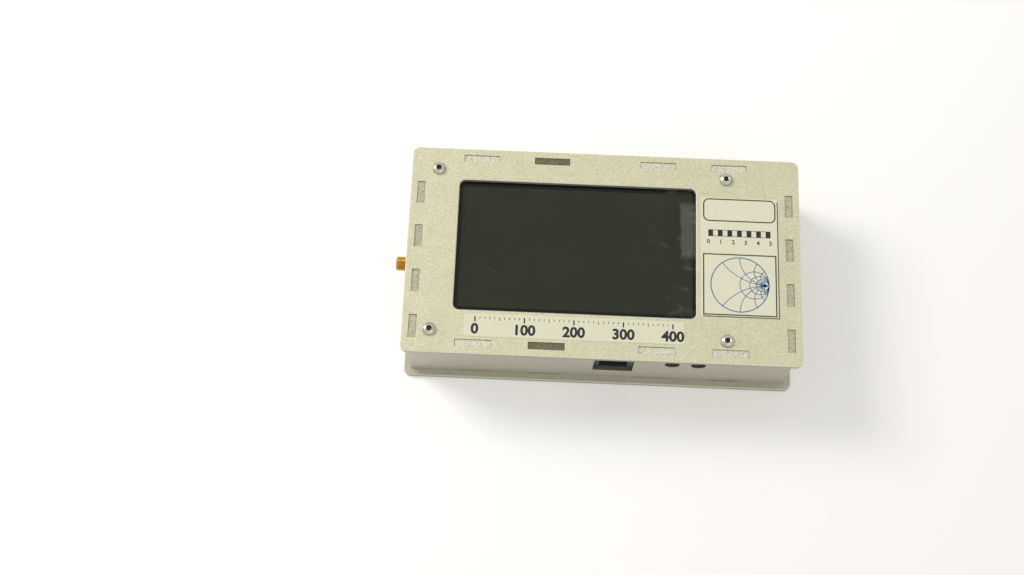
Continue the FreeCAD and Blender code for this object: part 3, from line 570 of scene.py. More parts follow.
@dataclass(frozen=True)
class CoverGlass:
    """Dark cover glass with a black border, finger smears, a pale smudge and specks of dust.

    The three values of hazes and of roughs are what the smears, the smudge and the dust add to the
    pale haze and to the roughness. The smears' reach is in parts of the field's half width.
    """

    centre: Point
    half: Point
    name: str = "cover_glass"
    field_colour: Colour = srgb(41, 43, 26)
    field_tones: Span = (0.9, 1.12)
    border_colour: Colour = srgb(6, 6, 5)
    border_edge_mm: Span = (-0.1, 0.1)
    dust_colour: Colour = srgb(150, 152, 140)
    cloud_mm: float = 22.0
    clouded: Span = (0.3, 0.7)
    smear_mm: float = 5.0
    smear_stretch: Triple = (0.6, 1.0, 1.0)
    smeared: Span = (0.52, 0.72)
    smear_reach: Span = (0.55, 0.98)
    dust_mm: float = 4.3
    speck: Span = (0.02, 0.045)
    drift_mm: float = 16.0
    drifted: Span = (0.5, 0.62)
    smudge_mm: float = 6.0
    smudge_noise: float = 0.5
    smudge_inset: Span = (9.0 * MM, 1.5 * MM)
    smudge_grip: float = 0.7
    smudge_low: Span = (-3.0 * MM, 1.0 * MM)
    smudge_high: Span = (24.0 * MM, 27.0 * MM)
    smudged: Span = (0.58, 0.74)
    hazes: Triple = (0.2, 0.22, 0.8)
    roughness: float = 0.05
    roughs: Triple = (0.22, 0.2, 0.4)
    rough_smear: float = 0.04
    specular: float = 0.24

    def border(self, x: Wire, y: Wire) -> Wire:
        """Finds the black border.

        Args:
            x: The point's X.
            y: The point's Y.

        Returns:
            1 outside the screen's field and 0 in it.
        """
        outside_x = (abs(x - self.centre[0]) - self.half[0]) * (1 / MM)
        outside_y = (abs(y - self.centre[1]) - self.half[1]) * (1 / MM)
        return outside_x.math("MAXIMUM", outside_y).ramp(*self.border_edge_mm)

    def fingered(self, x: Wire, smear: Wire) -> Wire:
        """Returns the finger smears, which gather towards the field's right edge."""
        start, end = (self.centre[0] + self.half[0] * share for share in self.smear_reach)
        return smear.ramp(*self.smeared) * x.ramp(start, end)

    def dust(self, shader: Shader) -> Wire:
        """Returns the specks of dust, which lie in drifts."""
        specks = 1.0 - shader.cells(self.dust_mm).ramp(*self.speck)
        return specks * shader.noise(self.drift_mm, detail=1.0).ramp(*self.drifted)

    def smudge(self, shader: Shader, x: Wire, y: Wire) -> Wire:
        """Draws the pale smudge at the right edge, in the upper half.

        It is noise that is lifted over a threshold within an inset from the edge. The lower step is
        measured from the field's middle and the upper one from the origin.

        Args:
            shader: The glass's shader.
            x: The point's X.
            y: The point's Y.

        Returns:
            1 in the smudge and 0 off it.
        """
        right = self.centre[0] + self.half[0]
        at_edge = x.ramp(*(right - inset for inset in self.smudge_inset)) * self.smudge_grip
        ragged = at_edge + shader.noise(self.smudge_mm) * self.smudge_noise
        above = y.ramp(*(self.centre[1] + offset for offset in self.smudge_low))
        return ragged.ramp(*self.smudged) * (above * (1.0 - y.ramp(*self.smudge_high)))

    def make(self) -> bpy.types.Material:
        """Clouds the dark field, prints the border over it, and lays the marks on top.

        Returns:
            The material.
        """
        shader = Shader(self.name)
        x, y, _ = shader.axes()
        dark, light = (varied(self.field_colour, tone) for tone in self.field_tones)
        cloud = shader.noise(self.cloud_mm).ramp(*self.clouded)
        printed = shader.blend(self.border(x, y), shader.blend(cloud, dark, light), self.border_colour)
        smear = shader.noise(self.smear_mm, detail=4.0, stretch=self.smear_stretch)
        marks = (self.fingered(x, smear), self.smudge(shader, x, y), self.dust(shader))
        haze, rough = (
            marks[0] * shares[0] + marks[1] * shares[1] + marks[2] * shares[2]
            for shares in (self.hazes, self.roughs)
        )
        return shader.finish(
            Base_Color=shader.blend(haze, printed, self.dust_colour),
            Roughness=rough + smear * self.rough_smear + self.roughness,
            Specular_IOR_Level=self.specular,
        )


@dataclass(frozen=True)
class BoardLaminate:
    """Circuit board: soldermask with copper tracks showing through as lighter lanes."""

    name: str
    mask: Colour
    lane: Colour
    pitches_mm: Span = (1.9, 2.3)
    wander_mm: float = 6.0
    wander_pitches: float = 5.0
    lane_edge: Span = (0.1, 0.16)
    patch_mm: float = 9.0
    patch_edge: Span = (0.48, 0.52)
    lane_share: float = 0.8
    weave_mm: float = 0.5
    weave_height: float = 0.3
    roughness: float = 0.3
    rough_weave: float = 0.15
    relief_mm: float = 0.03
    relief_strength: float = 0.5

    def make(self) -> bpy.types.Material:
        """Lays wandering lanes along X in some patches and along Y in the others.

        A lane is where the distance across it, in pitches and moved by noise, ends near a half.

        Returns:
            The material.
        """
        shader = Shader(self.name)
        x, y, _ = shader.axes()
        wander = shader.noise(self.wander_mm, detail=1.0)
        lanes = []
        for axis, pitch_mm in zip((x, y), self.pitches_mm):
            wave = (axis * (1 / (pitch_mm * MM)) + wander * self.wander_pitches).math("FRACT")
            lanes.append(1.0 - abs(wave - 0.5).ramp(*self.lane_edge))
        patch = shader.noise(self.patch_mm, detail=0.0).ramp(*self.patch_edge)
        tracks = lanes[0] * patch + lanes[1] * (1.0 - patch)
        colour = shader.blend(tracks * self.lane_share, self.mask, self.lane)
        weave = shader.noise(self.weave_mm, detail=2.0)
        relief = shader.bump(tracks + weave * self.weave_height, self.relief_mm, self.relief_strength)
        rough = self.roughness + weave * self.rough_weave
        return shader.finish(Base_Color=colour, Roughness=rough, Normal=relief)


class Ink(Enum):
    """The printed colours."""

    BLACK = srgb(9, 9, 8)
    # Grey also draws the painted shadow along the side film's edge.
    GREY = srgb(40, 46, 38)
    BLUE = srgb(44, 104, 150)

    def make(self) -> bpy.types.Material:
        """Returns the ink's material."""
        return PrintInk(f"ink_{self.name.lower()}", self.value).make()


def linked(name: str, data: bpy.types.ID) -> bpy.types.Object:
    """Adds an object to the scene.

    Args:
        name: The object's name.
        data: Its mesh, curve, lamp or camera.

    Returns:
        The object, at the origin.
    """
    made = bpy.data.objects.new(name, data)
    bpy.context.scene.collection.objects.link(made)
    return made


@dataclass
class MeshData:
    """Vertices and faces that grow piece by piece, in metres."""

    points: list[np.ndarray] = field(default_factory=list)
    faces: list[tuple[int, ...]] = field(default_factory=list)
    count: int = 0

    def add(self, points: np.ndarray, faces: np.ndarray | list) -> None:
        """Adds one shell.

        Args:
            points: Rows of three coordinates, in metres.
            faces: Rows of point numbers that start at 0 for this shell.
        """
        self.points.append(points)
        self.faces.extend(tuple(int(i) + self.count for i in face) for face in faces)
        self.count += len(points)

    def object(self, name: str, smooth: bool = False) -> bpy.types.Object:
        """Makes an object of all shells.

        Args:
            name: The piece's name.
            smooth: Whether the faces are shaded smooth up to an angle.

        Returns:
            The new object, at the origin.
        """
        mesh = bpy.data.meshes.new(name)
        mesh.from_pydata(np.concatenate(self.points).tolist(), [], self.faces)
        mesh.validate()
        if smooth:
            mesh.shade_smooth()
            mesh.set_sharp_from_angle(angle=SMOOTH_ANGLE)
        return linked(name, mesh)


def grid_faces(rows: int, columns: int, closed: bool) -> np.ndarray:
    """Returns the quads of a grid of points.

    Args:
        rows: The number of rings or rows.
        columns: The points in each row.
        closed: Whether each row joins its own start.

    Returns:
        One row of four point numbers for each face.
    """
    spans = columns if closed else columns - 1
    row, column = np.meshgrid(np.arange(rows - 1), np.arange(spans), indexing="ij")
    after = (column + 1) % columns
    start = row * columns
    end = start + columns
    return np.stack((start + column, start + after, end + after, end + column), axis=-1).reshape(-1, 4)


def ribbon(path: np.ndarray, width: float, levels: Span, closed: bool) -> Shell:
    """Carries a flat rectangular section along a path in the plane.

    Each point moves half a width along the mean of its two runs' normals, lengthened at corners so
    that the band keeps its width.

    Args:
        path: Rows of X and Y.
        width: The band's width.
        levels: The Z of its underside and of its top.
        closed: Whether the band ends where it starts.

    Returns:
        The points and the faces.
    """
    ahead = np.roll(path, -1, axis=0) - path
    if not closed:
        ahead[-1] = ahead[-2]
    ahead /= np.linalg.norm(ahead, axis=1, keepdims=True)
    behind = np.roll(ahead, 1, axis=0)
    if not closed:
        behind[0] = ahead[0]
    normal_ahead = np.stack((-ahead[:, 1], ahead[:, 0]), axis=1)
    normal_behind = np.stack((-behind[:, 1], behind[:, 0]), axis=1)
    mean = normal_ahead + normal_behind
    mean /= np.linalg.norm(mean, axis=1, keepdims=True)
    agreement = np.maximum(SHARPEST_MITRE, (mean * normal_ahead).sum(axis=1, keepdims=True))
    reach = width / 2 / agreement
    left = path + mean * reach
    right = path - mean * reach
    low, high = levels
    count = len(path)
    section = ((left, high), (left, low), (right, low), (right, high))
    ring = [np.column_stack((side, np.full(count, z))) for side, z in section]
    points = np.stack(ring, axis=1).reshape(-1, 3)
    faces = grid_faces(count + 1 if closed else count, 4, True)[:, ::-1] % len(points)
    caps = [] if closed else [(0, 1, 2, 3), tuple(len(points) - 4 + i for i in (3, 2, 1, 0))]
    return points, [*(tuple(face) for face in faces), *caps]


def arc(centre: Point, radius: float, start: float, end: float, count: int) -> np.ndarray:
    """Returns points on a circle from one angle to another, in radians, both ends among them."""
    angles = np.linspace(start, end, count)
    return np.column_stack((centre[0] + radius * np.cos(angles), centre[1] + radius * np.sin(angles)))


def rounded_loop(x_range: Span, y_range: Span, radius: float) -> np.ndarray:
    """Draws a rectangle with rounded corners: a quarter circle about each corner's own centre.

    Args:
        x_range: The rectangle's X range.
        y_range: The rectangle's Y range.
        radius: The corners' radius.

    Returns:
        Rows of X and Y, counterclockwise, that close on their start.
    """
    inner_x = (x_range[0] + radius, x_range[1] - radius)
    inner_y = (y_range[0] + radius, y_range[1] - radius)
    corners = [(inner_x[i], inner_y[j]) for i, j in ((1, 1), (0, 1), (0, 0), (1, 0))]
    quarter = math.pi / 2
    return np.concatenate([
        arc(corner, radius, number * quarter, (number + 1) * quarter, CORNER_POINTS)
        for number, corner in enumerate(corners)
    ])


def smooth_noise(x: np.ndarray, y: np.ndarray, seed: int) -> np.ndarray:
    """Sums plane waves of random direction, phase and length into a rough height.

    Args:
        x: The points' X.
        y: The points' Y.
        seed: The seed of the draws.

    Returns:
        The height at each point, about -1 to 1.
    """
    draw = np.random.default_rng(seed)
    total = np.zeros_like(x)
    for _ in range(WAVES):
        angle = draw.uniform(0, math.tau)
        phase = draw.uniform(0, math.tau)
        length = draw.uniform(*WAVE_LENGTHS_MM) * MM
        total += np.sin((x * np.cos(angle) + y * np.sin(angle)) / length * math.tau + phase)
    return total / (WAVES / 2)


def dress(material: bpy.types.Material, *nodes: str) -> None:
    """Gives CAD nodes one material.

    Args:
        material: The finish.
        nodes: The nodes' names.
    """
    for node in nodes:
        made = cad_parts[node]
        made.data.materials.clear()
        made.data.materials.append(material)
        LOG.info("dressed %s with %s", node, material.name)


def softened(node: str, name: str, width_mm: float) -> bpy.types.Object:
    """Copies a CAD node and rounds its edges off.

    Args:
        node: The CAD node.
        name: The copy's name.
        width_mm: How far each edge is set back.

    Returns:
        The copy, linked and shaded smooth up to an angle.
    """
    work = bmesh.new()
    work.from_mesh(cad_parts[node].data)
    bmesh.ops.remove_doubles(work, verts=work.verts, dist=MERGE_DISTANCE)
    bmesh.ops.dissolve_limit(work, angle_limit=FLAT_ANGLE, verts=work.verts, edges=work.edges)
    edges = [edge for edge in work.edges if edge.calc_face_angle(0.0) > EDGE_ANGLE]
    bmesh.ops.bevel(work, geom=edges, offset=width_mm * MM, segments=2, profile=0.5, affect="EDGES")
    mesh = bpy.data.meshes.new(name)
    work.to_mesh(mesh)
    work.free()
    mesh.shade_smooth()
    mesh.set_sharp_from_angle(angle=EDGE_ANGLE)
    return linked(name, mesh)


def place(
    piece: bpy.types.Object, material: bpy.types.Material, slot: str, *replaced: str, body: str = BODY
) -> None:
    """Finishes a new piece.

    Args:
        piece: The piece, in its place.
        material: Its finish.
        slot: A material slot's name, which is not used.
        replaced: The CAD nodes that it stands for.
        body: The CAD body that it moves with.
    """
    piece.data.materials.append(material)
    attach(piece, body)
    if replaced:
        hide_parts(*replaced)
    LOG.info("built %s, %d faces", piece.name, len(piece.data.polygons))


@dataclass
class Case:
    """The two plates, the four walls and the raw ends of the walls' tabs."""

    long_walls: tuple[str, str] = ("front_wall", "rear_wall")
    end_walls: tuple[str, str] = ("left_wall", "right_wall")
    long_tab: float = 14.8 * MM
    long_places_mm: tuple[float, ...] = (-52.5, -22.5, 22.5, 52.5)
    # The long walls' tab ends at this place get the darkest tone, which is painted shade.
    stained_place: int = 1
    end_tab: float = 9.8 * MM
    end_places_mm: tuple[float, ...] = (-35.0, -15.0, 5.0, 25.0)
    step: float = 0.2 * MM
    relief: float = 0.04 * MM
    wave_share: float = 0.5
    mean_share: float = 0.55
    lift: float = 0.005 * MM
    rim: float = 0.25 * MM
    root: float = 0.1 * MM
    seeds_per_wall: int = 10
    panel_colour: Colour = srgb(212, 208, 176)
    wall_colour: Colour = srgb(194, 190, 175)
    wall_contrast: float = 0.07
    # The bottom plate's colour is darkened with painted shade, and its bevel colour is a painted highlight.
    base_colour: Colour = srgb(188, 185, 166)
    base_contrast: float = 0.09
    base_bevel: Colour = srgb(204, 201, 184)

    def tab_end(self, x_range: Span, y_range: Span, level: float, outward: int, seed: int) -> Shell:
        """Builds one torn tab end as a height field, closed by a skirt that is rooted in the tab.

        The height is a sum of plane waves that fades out at the rim, above or below the tab's face.

        Args:
            x_range: The tab's X range.
            y_range: The tab's Y range.
            level: The Z of the tab's end face.
            outward: 1 where that face looks up and -1 where it looks down.
            seed: The seed of its waves.

        Returns:
            The points and the faces.
        """
        columns = max(3, round((x_range[1] - x_range[0]) / self.step))
        rows = max(3, round((y_range[1] - y_range[0]) / self.step))
        x, y = np.meshgrid(np.linspace(*x_range, columns), np.linspace(*y_range, rows))
        height = (smooth_noise(x, y, seed) * self.wave_share + self.mean_share) * self.relief
        across = np.minimum(x - x_range[0], x_range[1] - x)
        from_rim = np.minimum(across, np.minimum(y - y_range[0], y_range[1] - y))
        z = level + outward * (self.lift + height * np.clip(from_rim / self.rim, 0, 1))
        crust = np.column_stack((x.ravel(), y.ravel(), z.ravel()))
        index = np.arange(rows * columns).reshape(rows, columns)
        edge = np.concatenate((index[0, :-1], index[:-1, -1], index[-1, :0:-1], index[:0:-1, 0]))
        foot = crust[edge]
        foot[:, 2] = level - outward * self.root
        under = len(crust) + np.arange(len(edge))
        sides = np.stack((under, np.roll(under, -1), np.roll(edge, -1), edge), axis=1)
        faces = [*grid_faces(rows, columns, False), *sides, under[::-1]]
        return np.concatenate((crust, foot)), faces if outward > 0 else [face[::-1] for face in faces]

    def tone(self, long_side: bool, place_number: int) -> CutTone:
        """Picks a tab end's tone.

        Args:
            long_side: Whether the tab is on a near or far wall.
            place_number: The tab's place along its wall, from 0.

        Returns:
            The tone.
        """
        if not long_side:
            return CutTone.DULL
        # The tab ends at that one place get the tone of painted shade.
        return CutTone.STAINED if place_number == self.stained_place else CutTone.BRIGHT

    def tab_ends(self) -> dict[CutTone, MeshData]:
        """Builds the ends of all tabs, above and below.

        Returns:
            The ends by their tones.
        """
        made = {tone: MeshData() for tone in CutTone}
        for wall_number, name in enumerate((*self.long_walls, *self.end_walls)):
            low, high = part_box(name)
            long_side = name in self.long_walls
            places = self.long_places_mm if long_side else self.end_places_mm
            half = (self.long_tab if long_side else self.end_tab) / 2
            for number, middle in enumerate(places):
                along = (middle * MM - half, middle * MM + half)
                x_range = along if long_side else (low.x, high.x)
                y_range = (low.y, high.y) if long_side else along
                seed = wall_number * self.seeds_per_wall + number
                ends = made[self.tone(long_side, number)]
                for level, outward in ((high.z, 1), (low.z, -1)):
                    ends.add(*self.tab_end(x_range, y_range, level, outward, seed))
        return made

    def build(self) -> None:
        """Dresses the case and adds the tab ends."""
        dress(BlastedAluminium("anodised_panel", self.panel_colour).make(), "top_panel")
        for axis, pair in enumerate((self.end_walls, self.long_walls)):
            low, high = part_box(pair[1])
            sheet = Sheet(axis, low[axis], high[axis], high[1 - axis])
            name = f"anodised_{pair[0]}"
            finish = BlastedAluminium(name, self.wall_colour, self.wall_contrast, edge_share=0.0, sheet=sheet)
            dress(finish.make(), *pair)
        # The bottom plate is darker with painted shade, and its bevels get a painted highlight.
        plate = BlastedAluminium("anodised_base", self.base_colour, self.base_contrast, bevel=self.base_bevel)
        dress(plate.make(), "bottom_plate")
        for tone, ends in self.tab_ends().items():
            piece = ends.object(f"tab_ends_{tone.name.lower()}", smooth=True)
            place(piece, SawnMetal(tone).make(), "case_aluminium")


@dataclass
class ButtonScrews:
    """The panel's button head screws, turned about their axes, with hexagon sockets.

    A ring is its radius, its height over the panel, and its share of a hexagon. The socket narrows
    from its mouth over the lip to the throat, falls to its floor and ends in the tip of the drill's
    cone, whose radii are in parts of half its width. The turns are in radians.
    """

    head_radius: float = 2.85 * MM
    head_height: float = 1.65 * MM
    shank_radius: float = 1.45 * MM
    shank_length: float = 1.5 * MM
    segments: int = 48
    dome_rings: int = 9
    dome_share: float = 0.84
    dome_power: float = 0.75
    key_half: float = 1.0 * MM
    key_depth: float = 1.05 * MM
    mouth: float = 1.32
    lip: float = 1.06
    lip_depth: float = 0.12 * MM
    throat_depth: float = 0.2 * MM
    floor_edge: float = 0.02 * MM
    floor: float = 0.92
    tip: float = 0.2
    tip_depth: float = 0.12 * MM
    first_turn: float = 0.4
    turn_step: float = 1.3
    # The sockets' dark colour is painted shade.
    socket_colour: Colour = srgb(70, 66, 56)

    def ring(self, radius: float, hexagonal: float) -> np.ndarray:
        """Draws a ring.

        A hexagon's reach is its radius divided by the cosine of the angle from its nearest flat's middle.

        Args:
            radius: The ring's radius, or half the hexagon's width.
            hexagonal: 0 for a circle and 1 for a hexagon.

        Returns:
            Rows of X and Y.
        """
        angles = np.arange(self.segments) / self.segments * math.tau
        wedge = (angles + math.pi / 6) % (math.pi / 3) - math.pi / 6
        reach = radius * ((1 - hexagonal) + hexagonal / np.cos(wedge))
        return np.column_stack((reach * np.cos(angles), reach * np.sin(angles)))

    def head_rings(self) -> list[Triple]:
        """Profiles the shank and the dome, whose radius is a power of the cosine of a rising angle.

        Returns:
            The rings, from the shank's foot to the last one outside the socket's mouth.
        """
        top_lean = self.dome_share * math.pi / 2
        rings = [(self.shank_radius, -self.shank_length, 0.0), (self.shank_radius, 0.0, 0.0)]
        for lean in np.linspace(0.0, top_lean, self.dome_rings):
            radius = self.head_radius * math.cos(lean) ** self.dome_power
            if radius > self.key_half * self.mouth:
                rings.append((radius, self.head_height * math.sin(lean) / math.sin(top_lean), 0.0))
        return rings

    def socket_rings(self) -> list[Triple]:
        """Profiles the socket.

        Returns:
            The rings, from its mouth in the dome to the tip of the drill's cone.
        """
        sunk = self.head_height - self.key_depth
        return [
            (self.key_half * self.mouth, self.head_height, 0.0),
            (self.key_half * self.lip, self.head_height - self.lip_depth, 1.0),
            (self.key_half, self.head_height - self.throat_depth, 1.0),
            (self.key_half, sunk + self.floor_edge, 1.0),
            (self.key_half * self.floor, sunk, 1.0),
            (self.key_half * self.tip, sunk - self.tip_depth, 0.0),
        ]

    def build(self, finish: bpy.types.Material) -> None:
        """Builds the four heads over the CAD screws.

        Args:
            finish: The screws' steel.
        """
        low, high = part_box("panel_screws")
        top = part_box("top_panel")[1].z
        outside = self.head_rings()
        profile = [*outside, *self.socket_rings()]
        lip_row = len(outside) + 1
        rows = np.repeat(np.arange(len(profile) - 1), self.segments)
        # 1 marks the socket's faces, which get the painted shade.
        sunk = np.array([*(rows >= lip_row), True, False], int)
        corners = [(x, y) for x in (low.x, high.x) for y in (low.y, high.y)]
        made = MeshData()
        for index, (x, y) in enumerate(corners):
            centre_x = x + math.copysign(self.head_radius, (low.x + high.x) / 2 - x)
            centre_y = y + math.copysign(self.head_radius, (low.y + high.y) / 2 - y)
            turn = np.array(Matrix.Rotation(self.first_turn + index * self.turn_step, 2))
            rings = []
            for radius, height, share in profile:
                flat = self.ring(radius, share) @ turn.T
                level = np.full(self.segments, top + height)
                rings.append(np.column_stack((flat + (centre_x, centre_y), level)))
            points = np.concatenate(rings)
            bottom = range(len(points) - self.segments, len(points))
            foot = range(self.segments)[::-1]
            made.add(points, [*grid_faces(len(profile), self.segments, True), bottom, foot])
        heads = made.object("button_head_screws", smooth=True)
        place(heads, finish, "screw_steel", "panel_screws")
        # A dark steel on the socket's faces: painted shade in the recess.
        heads.data.materials.append(TurnedMetal("screw_sockets", self.socket_colour, roughness=0.5).make())
        heads.data.polygons.foreach_set("material_index", np.tile(sunk, len(corners)))


@dataclass
class ChartPrint:
    """The round impedance chart: resistance circles and reactance arcs that meet at its right end."""

    centre: Point = (56.6 * MM, -11.3 * MM)
    radius: float = 12.0 * MM
    resistances: tuple[float, ...] = (1.0, 2.0, 3.5, 6.0)
    reactances: tuple[float, ...] = (0.5, 1.0, 2.0, 3.5, 6.0)
    rim_width: float = 0.42 * MM
    line_width: float = 0.29 * MM
    rim_points: int = 97
    circle_points: int = 65
    arc_points: int = 33

    def lines(self) -> list[tuple[np.ndarray, float, bool]]:
        """Draws the chart's lines.

        A resistance's circle has the chart's radius divided by one more than its value, and touches the
        rim at the right end. A reactance's arc has the radius divided by its value, leaves the right end
        level and stops on the rim.

        Returns:
            Each line's path, its width, and whether it closes.
        """
        rim = arc(self.centre, self.radius, 0, math.tau, self.rim_points)[:-1]
        found = [(rim, self.rim_width, True)]
        for value in self.resistances:
            radius = self.radius / (1 + value)
            middle = (self.centre[0] + self.radius - radius, self.centre[1])
            circle = arc(middle, radius, 0, math.tau, self.circle_points)[:-1]
            found.append((circle, self.line_width, True))
        for value in self.reactances:
            radius = self.radius / value
            sweep = 2 * math.atan(value)
            for side in (-1, 1):
                middle = (self.centre[0] + self.radius, self.centre[1] + side * radius)
                start = -side * math.pi / 2
                bow = arc(middle, radius, start, start - side * sweep, self.arc_points)
                found.append((bow, self.line_width, False))
        return found


@dataclass(frozen=True)
class Tick:
    """A kind of tick on the scale: at every so many steps, that long and that wide to each side."""

    every: int
    length: float
    half_width: float


@dataclass
class PrintedFilms:
    """The two films on the panel and what is printed on them."""

    ink_depth: float = 0.02 * MM
    digit_share: float = 0.72
    curve_steps: int = 4
    box_x: Span = (41.7 * MM, 71.6 * MM)
    box_y: Span = (17.2 * MM, 27.1 * MM)
    box_radius: float = 2.3 * MM
    frame_x: Span = (41.6 * MM, 71.6 * MM)
    frame_y: Span = (-24.7 * MM, 2.0 * MM)
    frame_width: float = 0.52 * MM
    # A dark line along the film's right and near edges: painted shadow of the film's edge.
    border_inset: float = 0.18 * MM
    border_gap: float = 1.0 * MM
    border_width: float = 0.36 * MM
    ruler_x: Span = (43.6 * MM, 69.6 * MM)
    ruler_y: Span = (10.2 * MM, 13.0 * MM)
    ruler_cells: int = 13
    ruler_line: float = 0.2 * MM
    ruler_numbers: tuple[int, ...] = (0, 1, 2, 3, 4, 5)
    ruler_digit: float = 1.9 * MM
    ruler_weight: float = 0.05 * MM
    ruler_gap: float = 1.5 * MM
    scale_x: Span = (-52.0 * MM, 29.0 * MM)
    scale_base: float = -29.9 * MM
    scale_steps: int = 40
    scale_ticks: tuple[Tick, ...] = (
        Tick(10, 2.2 * MM, 0.28 * MM), Tick(5, 1.6 * MM, 0.13 * MM), Tick(1, 1.0 * MM, 0.13 * MM)
    )
    scale_numbers: tuple[int, ...] = (0, 100, 200, 300, 400)
    scale_digit: float = 4.4 * MM
    scale_weight: float = 0.22 * MM
    scale_gap: float = 2.9 * MM

    def __post_init__(self) -> None:
        """Finds the ink's underside, half sunk in the film, and its top."""
        film_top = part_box("side_label")[1].z
        self.levels = (film_top - self.ink_depth / 2, film_top + self.ink_depth)

    def band(self, made: MeshData, path: np.ndarray, width: float, closed: bool) -> None:
        """Adds one printed line to a mesh."""
        made.add(*ribbon(path, width, self.levels, closed))

    def bar(self, made: MeshData, x_range: Span, y_range: Span) -> None:
        """Adds one printed block to a mesh.

        Args:
            made: The mesh.
            x_range: The block's X range.
            y_range: The block's Y range.
        """
        middle = (y_range[0] + y_range[1]) / 2
        path = np.array([(x, middle) for x in x_range])
        self.band(made, path, y_range[1] - y_range[0], False)

    def figure(self, text: str, x: float, y: float, height: float, weight: float) -> bpy.types.Object:
        """Makes plain digits, centred on a point.

        Args:
            text: The digits.
            x: Their middle.
            y: Their foot.
            height: The digits' height.
            weight: How much their strokes are thickened.

        Returns:
            The mesh object, at the origin.
        """
        low, high = self.levels
        name = f"figure_{text}"
        curve = bpy.data.curves.new(name, "FONT")
        curve.body = text
        curve.align_x = "CENTER"
        curve.size = height / self.digit_share
        curve.offset = weight
        curve.extrude = (high - low) / 2
        curve.resolution_u = self.curve_steps
        made = linked(name, curve)
        mesh = bpy.data.meshes.new_from_object(made.evaluated_get(bpy.context.evaluated_depsgraph_get()))
        bpy.data.objects.remove(made)
        work = bmesh.new()
        work.from_mesh(mesh)
        bmesh.ops.remove_doubles(work, verts=work.verts, dist=MERGE_DISTANCE)
        bmesh.ops.recalc_face_normals(work, faces=work.faces)
        work.to_mesh(mesh)
        work.free()
        mesh.transform(Matrix.Translation((x, y, (low + high) / 2)))
        return linked(name, mesh)

    def figures(
        self, numbers: tuple[int, ...], x_range: Span, foot: float, height: float, weight: float
    ) -> list[bpy.types.Object]:
        """Spreads numbers evenly over a range.

        Args:
            numbers: The numbers.
            x_range: The middles of the first and the last.
            foot: The Y of their feet.
            height: Their height.
            weight: How much their strokes are thickened.

        Returns:
            One mesh object for each number.
        """
        middles = np.linspace(*x_range, len(numbers))
        return [self.figure(str(number), x, foot, height, weight) for number, x in zip(numbers, middles)]

    def join(self, name: str, data: MeshData, parts: list[bpy.types.Object]) -> bpy.types.Object:
        """Joins mesh objects to a mesh.

        Args:
            name: The new piece's name.
            data: The mesh.
            parts: The objects, which are used up.

        Returns:
            The piece, at the origin.
        """
        for part in parts:
            points = np.array([vertex.co for vertex in part.data.vertices])
            data.add(points, [tuple(face.vertices) for face in part.data.polygons])
            bpy.data.objects.remove(part)
        return data.object(name)

    def frames(self) -> MeshData:
        """Draws the rounded box, the chart's frame, and a painted shadow along the film's right and near
        edges.

        Returns:
            The mesh.
        """
        made = MeshData()
        self.band(made, rounded_loop(self.box_x, self.box_y, self.box_radius), self.frame_width, True)
        left, right = self.frame_x
        near, far = self.frame_y
        square = np.array([(left, near), (right, near), (right, far), (left, far)])
        self.band(made, square, self.frame_width, True)
        # Painted shadow along the film's right and near edges.
        low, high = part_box("side_label")
        right = high.x - self.border_inset
        near = low.y + self.border_inset
        edge = np.array([(low.x + self.border_gap, near), (right, near), (right, high.y - self.border_gap)])
        self.band(made, edge, self.border_width, False)
        return made

    def ruler(self) -> bpy.types.Object:
        """Draws the plain ruler bar of light and dark cells between two lines, with its digits.

        Returns:
            The piece.
        """
        made = MeshData()
        edges = np.linspace(*self.ruler_x, self.ruler_cells + 1)
        for start, end in zip(edges[::2], edges[1::2]):
            self.bar(made, (start, end), self.ruler_y)
        for level in self.ruler_y:
            self.bar(made, self.ruler_x, (level - self.ruler_line / 2, level + self.ruler_line / 2))
        foot = self.ruler_y[0] - self.ruler_digit - self.ruler_gap
        digits = self.figures(self.ruler_numbers, self.ruler_x, foot, self.ruler_digit, self.ruler_weight)
        return self.join("ruler_print", made, digits)

    def title_scale(self) -> bpy.types.Object:
        """Draws the plain scale on the strip: ticks of three lengths over bold numbers.

        A step's tick is the first kind whose spacing divides the step's number.

        Returns:
            The piece.
        """
        made = MeshData()
        for index, x in enumerate(np.linspace(*self.scale_x, self.scale_steps + 1)):
            tick = next(kind for kind in self.scale_ticks if index % kind.every == 0)
            x_range = (x - tick.half_width, x + tick.half_width)
            self.bar(made, x_range, (self.scale_base - tick.length, self.scale_base))
        foot = self.scale_base - self.scale_gap - self.scale_digit
        digits = self.figures(self.scale_numbers, self.scale_x, foot, self.scale_digit, self.scale_weight)
        return self.join("scale_print", made, digits)

    def build(self) -> None:
        """Dresses the films and prints on them."""
        dress(LabelFilm("side_film", srgb(236, 232, 204)).make(), "side_label")
        dress(LabelFilm("title_film", srgb(234, 231, 203)).make(), "title_label")
        chart = MeshData()
        for path, width, closed in ChartPrint().lines():
            self.band(chart, path, width, closed)
        black = Ink.BLACK.make()
        place(chart.object("chart_print"), Ink.BLUE.make(), "label_film")
        # The frames are print; the line along the film's edge is painted shadow.
        place(self.frames().object("frame_print"), Ink.GREY.make(), "label_film")
        place(self.ruler(), black, "label_film")
        place(self.title_scale(), black, "label_film")


